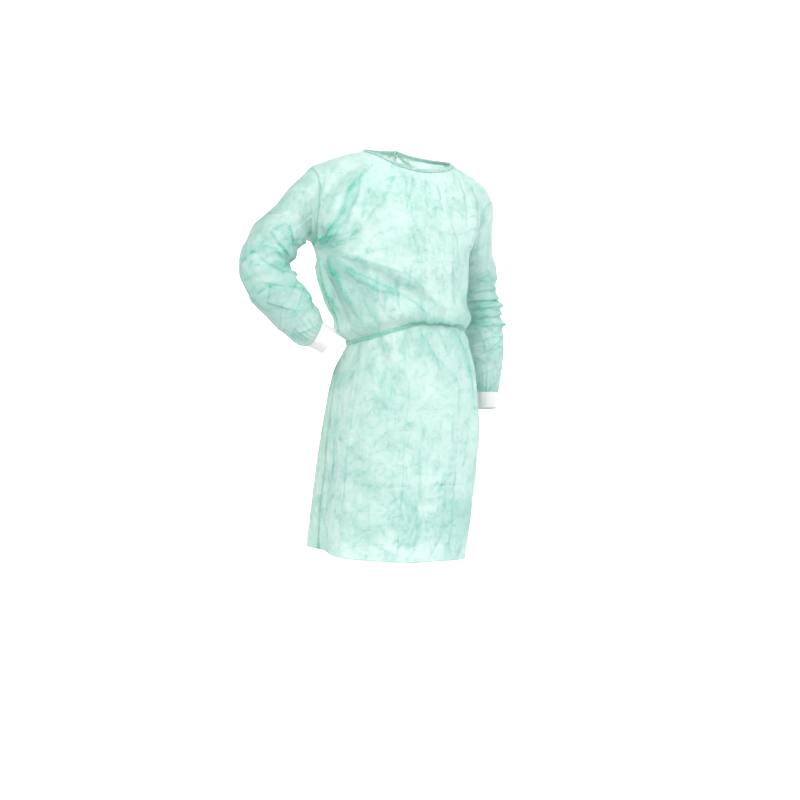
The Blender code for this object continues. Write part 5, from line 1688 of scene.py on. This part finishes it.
def cloth_material(name, light, deep, cloudy, alpha, rough):
    """A web of fibres in two colours. light and deep are colours, cloudy is how much the web
    wavers, and alpha the least and most that a place of the cloth hides what is behind it."""
    material, base, shader = new_material(name)
    place = base.node("ShaderNodeTexCoord", {}, {}, out=2)
    space = base.node("ShaderNodeTexCoord", {}, {}, out=3)
    tint = base.node("ShaderNodeAttribute", {"attribute_name": "tint"}, {}, out=2)

    def noise(where, scale, detail, twist):
        values = {"Vector": where, "Scale": scale, "Detail": detail, "Distortion": twist}
        return base.node("ShaderNodeTexNoise", {}, {**values, "Roughness": 0.6})

    def vector(operation, values):
        return base.node("ShaderNodeVectorMath", {"operation": operation}, values)

    drawn_out = vector("MULTIPLY", {0: space, 1: (1.0, 1.0, 0.28)})
    values = {"Vector": place, "Scale": 30.0, "Detail": 2.0}
    bent = base.node("ShaderNodeTexNoise", {}, values, out=1)
    pushed = vector("MULTIPLY_ADD", {0: bent, 1: (0.016, 0.016, 0.016), 2: place})
    clouds = noise(space, 9.0, 3.0, 0.8).held(0.38, 0.62)
    patches = noise(space, 34.0, 3.0, 1.6).held(0.36, 0.64)
    streaks = noise(drawn_out, 52.0, 3.0, 1.2).held(0.40, 0.66)
    web = noise(space, 130.0, 3.0, 2.6).held(0.30, 0.70)
    strand = 1 - cells(base, pushed, 105.0, 1.0, "DISTANCE_TO_EDGE").held(0.0, 0.09)
    fibres = noise(space, 420.0, 2.0, 1.0)
    # The tint is the doubled cloth, and also painted shade under the arms, low on the skirt, beside
    # the short creases and in the cuff gathers; it deepens the colour and hides more of what is
    # behind
    doubled = tint.held(0.0, 1.1)
    thick = clouds * 0.34 + patches * 0.24 + streaks * 0.24 + web * 0.13 + fibres * 0.05
    finer_creases = sharp_creases(base, pushed, 61.0, clouds)
    creased = sharp_creases(base, pushed, 24.0, patches) + finer_creases * 0.6
    deeper = doubled * 0.95 + (1 - doubled) * ((thick ** 1.5) * cloudy + creased * 0.15)
    colour = deeper.mix(light, deep)
    thin = (1 - clouds) * (1 - patches) * (1 - doubled)
    colour = (strand * web * 0.30 + thin * 0.45).mix(colour, PALE_FIBRE)
    feed(shader, "Base Color", colour)
    feed(shader, "Roughness", rough + 0.12 * (1 - web))
    low, high = alpha
    feed(shader, "Alpha", low + (high - low) * (thick * 0.7 + doubled * 0.9).held(0.1, 0.9))
    crumple = cells(base, pushed, 52.0, 1.0)
    finer = cells(base, pushed, 140.0, 1.0)
    pressed = cells(base, place, 620.0, 0.15).held(0.15, 0.45)
    height = crumple + finer * 0.35 + creased * 0.5 + web * 0.12 + pressed * 0.05
    bump = base.node("ShaderNodeBump", {}, {"Strength": 0.75, "Distance": 0.0026, "Height": height})
    feed(shader, "Normal", bump)
    shader.inputs["IOR"].default_value = 1.45
    shader.inputs["Specular IOR Level"].default_value = 0.25
    shader.inputs["Sheen Weight"].default_value = 0.15
    add_glow(material, base, shader, doubled)
    return material


PALE_FIBRE, GLOW = (0.93, 0.96, 0.955, 1.0), (0.74, 0.90, 0.86, 1.0)
THROUGH = 0.36


def add_glow(material, base, shader, doubled):
    """Light also comes through the cloth from behind: a share of the shader is translucent, and
    least of it where the cloth is doubled."""
    tree = material.node_tree
    through = base.node("ShaderNodeBsdfTranslucent", {}, {"Color": GLOW})
    share = THROUGH * (1 - doubled * 0.8)
    plain = Socket(tree, shader.outputs[0])
    both = base.node("ShaderNodeMixShader", {}, {0: share, 1: plain, 2: through})
    tree.links.new(both.output, tree.nodes["Material Output"].inputs["Surface"])


MINT, DEEP_MINT = (0.82, 0.92, 0.90, 1.0), (0.06, 0.47, 0.36, 1.0)
# The backs' colours of the same cloth, paler and yellower: painted backlight
PAINTED_BACKLIGHT_MINT, DEEP_PAINTED_BACKLIGHT_MINT = (0.84, 0.92, 0.85, 1.0), (0.13, 0.52, 0.37, 1.0)
STRAP_MINT, DEEP_STRAP_MINT = (0.34, 0.70, 0.58, 1.0), (0.10, 0.44, 0.34, 1.0)
mint_cloth = cloth_material("mint_nonwoven", MINT, DEEP_MINT, 0.72, (0.70, 0.98), 0.62)
# The same cloth for the backs, more see-through and coloured to look lit from behind: painted
# backlight
painted_backlight_cloth = cloth_material(
    "mint_nonwoven_painted_backlight", PAINTED_BACKLIGHT_MINT, DEEP_PAINTED_BACKLIGHT_MINT, 0.72, (0.50, 0.94), 0.62
)
strap_cloth = cloth_material("mint_strap", STRAP_MINT, DEEP_STRAP_MINT, 0.40, (1.0, 1.0), 0.60)

# %% [markdown]
# ## Rib knit
#
# The cuffs are white cotton and polyester knit. The ribs are in the mesh, and here each rib
# gets its column of V-shaped stitches. They are a wave along the rib whose phase is pushed
# by the place across it, which draws a V. The valleys between the ribs and between the
# stitches are painted a little greyer: painted shade.

# %% The knit's material
STITCHES_PER_METRE = 620
KNIT_PAINTED_SHADE, KNIT_WHITE = (0.66, 0.67, 0.66, 1.0), (0.90, 0.90, 0.89, 1.0)


def knit_material(name):
    """White, with V stitches as bump, and painted shade in the stitches and between the ribs."""
    material, base, shader = new_material(name)
    place = base.node("ShaderNodeTexCoord", {}, {}, out=2)
    parts = [base.node("ShaderNodeSeparateXYZ", {}, {"Vector": place}, out=i) for i in (0, 1)]
    ribs = RIBS / (2 * np.pi * CUFF_RADIUS)
    over = (parts[0] * (2 * np.pi * ribs)).math("SINE", parts[0] * (2 * np.pi * ribs))
    slant = over.math("ABSOLUTE", over)
    phase = parts[1] * (2 * np.pi * STITCHES_PER_METRE) + slant * 2.4
    loops = base.math("SINE", phase) * 0.5 + 0.5
    fluff = base.node("ShaderNodeTexNoise", {}, {"Vector": place, "Scale": 900.0, "Detail": 4.0})
    crest = over * 0.5 + 0.5
    # Painted shade: greyer in the valleys between the ribs and between the stitches
    shade = crest * 0.6 + loops * 0.25 + fluff * 0.15
    feed(shader, "Base Color", shade.held(0.15, 0.85).mix(KNIT_PAINTED_SHADE, KNIT_WHITE))
    feed(shader, "Roughness", 0.95)
    height = loops * 0.7 + fluff * 0.3
    bump = base.node("ShaderNodeBump", {}, {"Strength": 0.5, "Distance": 0.0005, "Height": height})
    feed(shader, "Normal", bump)
    shader.inputs["Sheen Weight"].default_value = 0.2
    return material


white_knit = knit_material("white_rib_knit")
for name, piece in made.items():
    knit, strap = name.endswith("_knit"), name.endswith(("_strap", "_strip", "_wrap"))
    # The backs take the painted-backlight copy of the cloth
    panel = painted_backlight_cloth if name.startswith("back_") else mint_cloth
    piece.data.materials.append(white_knit if knit else strap_cloth if strap else panel)

# %% [markdown]
# ## What each piece was cut to
#
# Cloth bends but hardly stretches, so a piece's cut has the cloth's own area. The frame
# takes no area over the box's, and no width under 10 mm. We measure the mesh and print its
# area beside the box of the flat pattern, taking no more than the box's area, so the binding
# and the cuffs are held to their boxes. For the narrow ties a width is worked out from the
# area and the length, at least 10.1 mm.

# %% Sheets
def cloth_area(piece):
    """The area of one side: the sum of its faces' areas, halved where both sides are modelled."""
    total = sum(face.area for face in piece.data.polygons)
    return total if piece.modifiers else total / 2


CUTS = {
    "front_cloth": (0.72, 1.08, "hung", "neck_binding_cloth"),
    "back_right_cloth": (0.40, 1.09, "hung", "neck_binding_cloth"),
    "back_left_cloth": (0.40, 1.09, "hung", "neck_binding_cloth"),
    "sleeve_right_cloth": (0.47, 0.60, "gathered", "front_cloth"),
    "sleeve_left_cloth": (0.47, 0.60, "gathered", "front_cloth"),
    "neck_binding_cloth": (neck_length, 0.024, "folded", "front_cloth"),
    "cuff_right_knit": (0.23, 0.044, "stretched", "sleeve_right_cloth"),
    "cuff_left_knit": (0.23, 0.044, "stretched", "sleeve_left_cloth"),
    "belt_strap": (belt_length, 0.0135, "folded", "front_cloth"),
}
LEAST_WIDTH = 0.0101
for name, (width, length, held, rests) in CUTS.items():
    area = min(cloth_area(made[name]), width * length)
    print(name, "covers", round(area, 4), "of", round(width * length, 4), "square metres")
for name, length in tie_lengths.items():
    piece = made[f"{name}_strip"]
    width = max(cloth_area(piece) / length, LEAST_WIDTH)
for tie in TIES:
    wrap = made[f"{tie['name']}_knot_wrap"]

# %% [markdown]
# ## Floor, light and camera
#
# The photograph is a pale studio shot with very soft light from the front and above. A
# backdrop that curves up behind the object has no horizon. The camera is level with the
# middle of the gown, turned 26 degrees to the gown's right, with a long lens.

# %% Floor and backdrop
FLOOR_HEIGHT, STUDIO_DEPTH, STUDIO_BEND = -1.62, 3.2, 1.6
STUDIO_NEAR, STUDIO_TOP, STUDIO_ASIDE = -7.0, 7.0, 9.0
VIEW_AZIMUTH = np.radians(-26.0)
sideways = np.array([np.cos(VIEW_AZIMUTH), np.sin(VIEW_AZIMUTH), 0.0])
away = np.array([-np.sin(VIEW_AZIMUTH), np.cos(VIEW_AZIMUTH), 0.0])


def make_backdrop():
    """A straight floor, a quarter circle and a straight wall, carried sideways."""
    turn = np.linspace(0, np.pi / 2, 24)
    bend = STUDIO_DEPTH + STUDIO_BEND * np.sin(turn)
    along = np.concatenate([[STUDIO_NEAR], bend, [STUDIO_DEPTH + STUDIO_BEND]])
    climb = STUDIO_BEND * (1 - np.cos(turn))
    high = np.concatenate([[0.0], climb, [STUDIO_TOP]]) + FLOOR_HEIGHT
    aside = np.array([-STUDIO_ASIDE, STUDIO_ASIDE])
    line = along[:, None] * away + high[:, None] * [0.0, 0.0, 1.0]
    points = line[:, None] + sideways * aside[:, None]
    mesh = bpy.data.meshes.new("backdrop")
    mesh.from_pydata(points.reshape(-1, 3), [], grid_faces(len(along), 2, ""))
    mesh.shade_smooth()
    backdrop = bpy.data.objects.new("backdrop", mesh)
    bpy.context.scene.collection.objects.link(backdrop)
    material, _, shader = new_material("pale_backdrop")
    shader.inputs["Base Color"].default_value = (0.93, 0.93, 0.93, 1.0)
    shader.inputs["Roughness"].default_value = 1.0
    mesh.materials.append(material)


make_backdrop()


# %% Light
def soft_light(name, place, aim, size, power, colour):
    """A large square lamp that faces a point."""
    lamp = bpy.data.lights.new(name, "AREA")
    lamp.shape, lamp.size, lamp.energy, lamp.color = "SQUARE", size, power, colour
    holder = bpy.data.objects.new(name, lamp)
    holder.location = place
    holder.rotation_euler = (Vector(aim) - Vector(place)).to_track_quat("-Z", "Y").to_euler()
    bpy.context.scene.collection.objects.link(holder)


MIDDLE, UPPER = (0.0, 0.0, -0.5), (0.0, 0.0, -0.25)
soft_light("key", (-2.1, -2.3, 1.5), UPPER, 1.3, 98, (1.0, 0.99, 0.97))
soft_light("fill", (2.4, -2.4, 0.9), UPPER, 2.0, 66, (0.97, 0.99, 1.0))
soft_light("back", (1.6, 2.4, 1.4), MIDDLE, 2.0, 80, (1.0, 1.0, 1.0))
soft_light("backdrop", (0.2, 1.9, 2.2), (1.9, 4.6, 0.2), 3.0, 190, (1.0, 1.0, 1.0))
world = bpy.data.worlds.new("studio")
world.use_nodes = True
sky = world.node_tree.nodes["Background"]
sky.inputs["Color"].default_value = (0.96, 0.98, 1.0, 1.0)
sky.inputs["Strength"].default_value = 0.50
bpy.context.scene.world = world
bpy.context.scene.view_settings.view_transform = "Standard"

# %% Camera
CAMERA_DISTANCE, LENS, SENSOR = 4.6, 79.92, 36.0
AIM_ASIDE, AIM_HEIGHT = -0.0285, -0.6475
camera = bpy.data.objects.new("camera", bpy.data.cameras.new("camera"))
camera.data.lens, camera.data.sensor_width = LENS, SENSOR
camera.location = sideways * AIM_ASIDE - away * CAMERA_DISTANCE + [0.0, 0.0, AIM_HEIGHT]
camera.rotation_euler = (np.pi / 2, 0.0, VIEW_AZIMUTH)
bpy.context.scene.collection.objects.link(camera)
bpy.context.scene.camera = camera
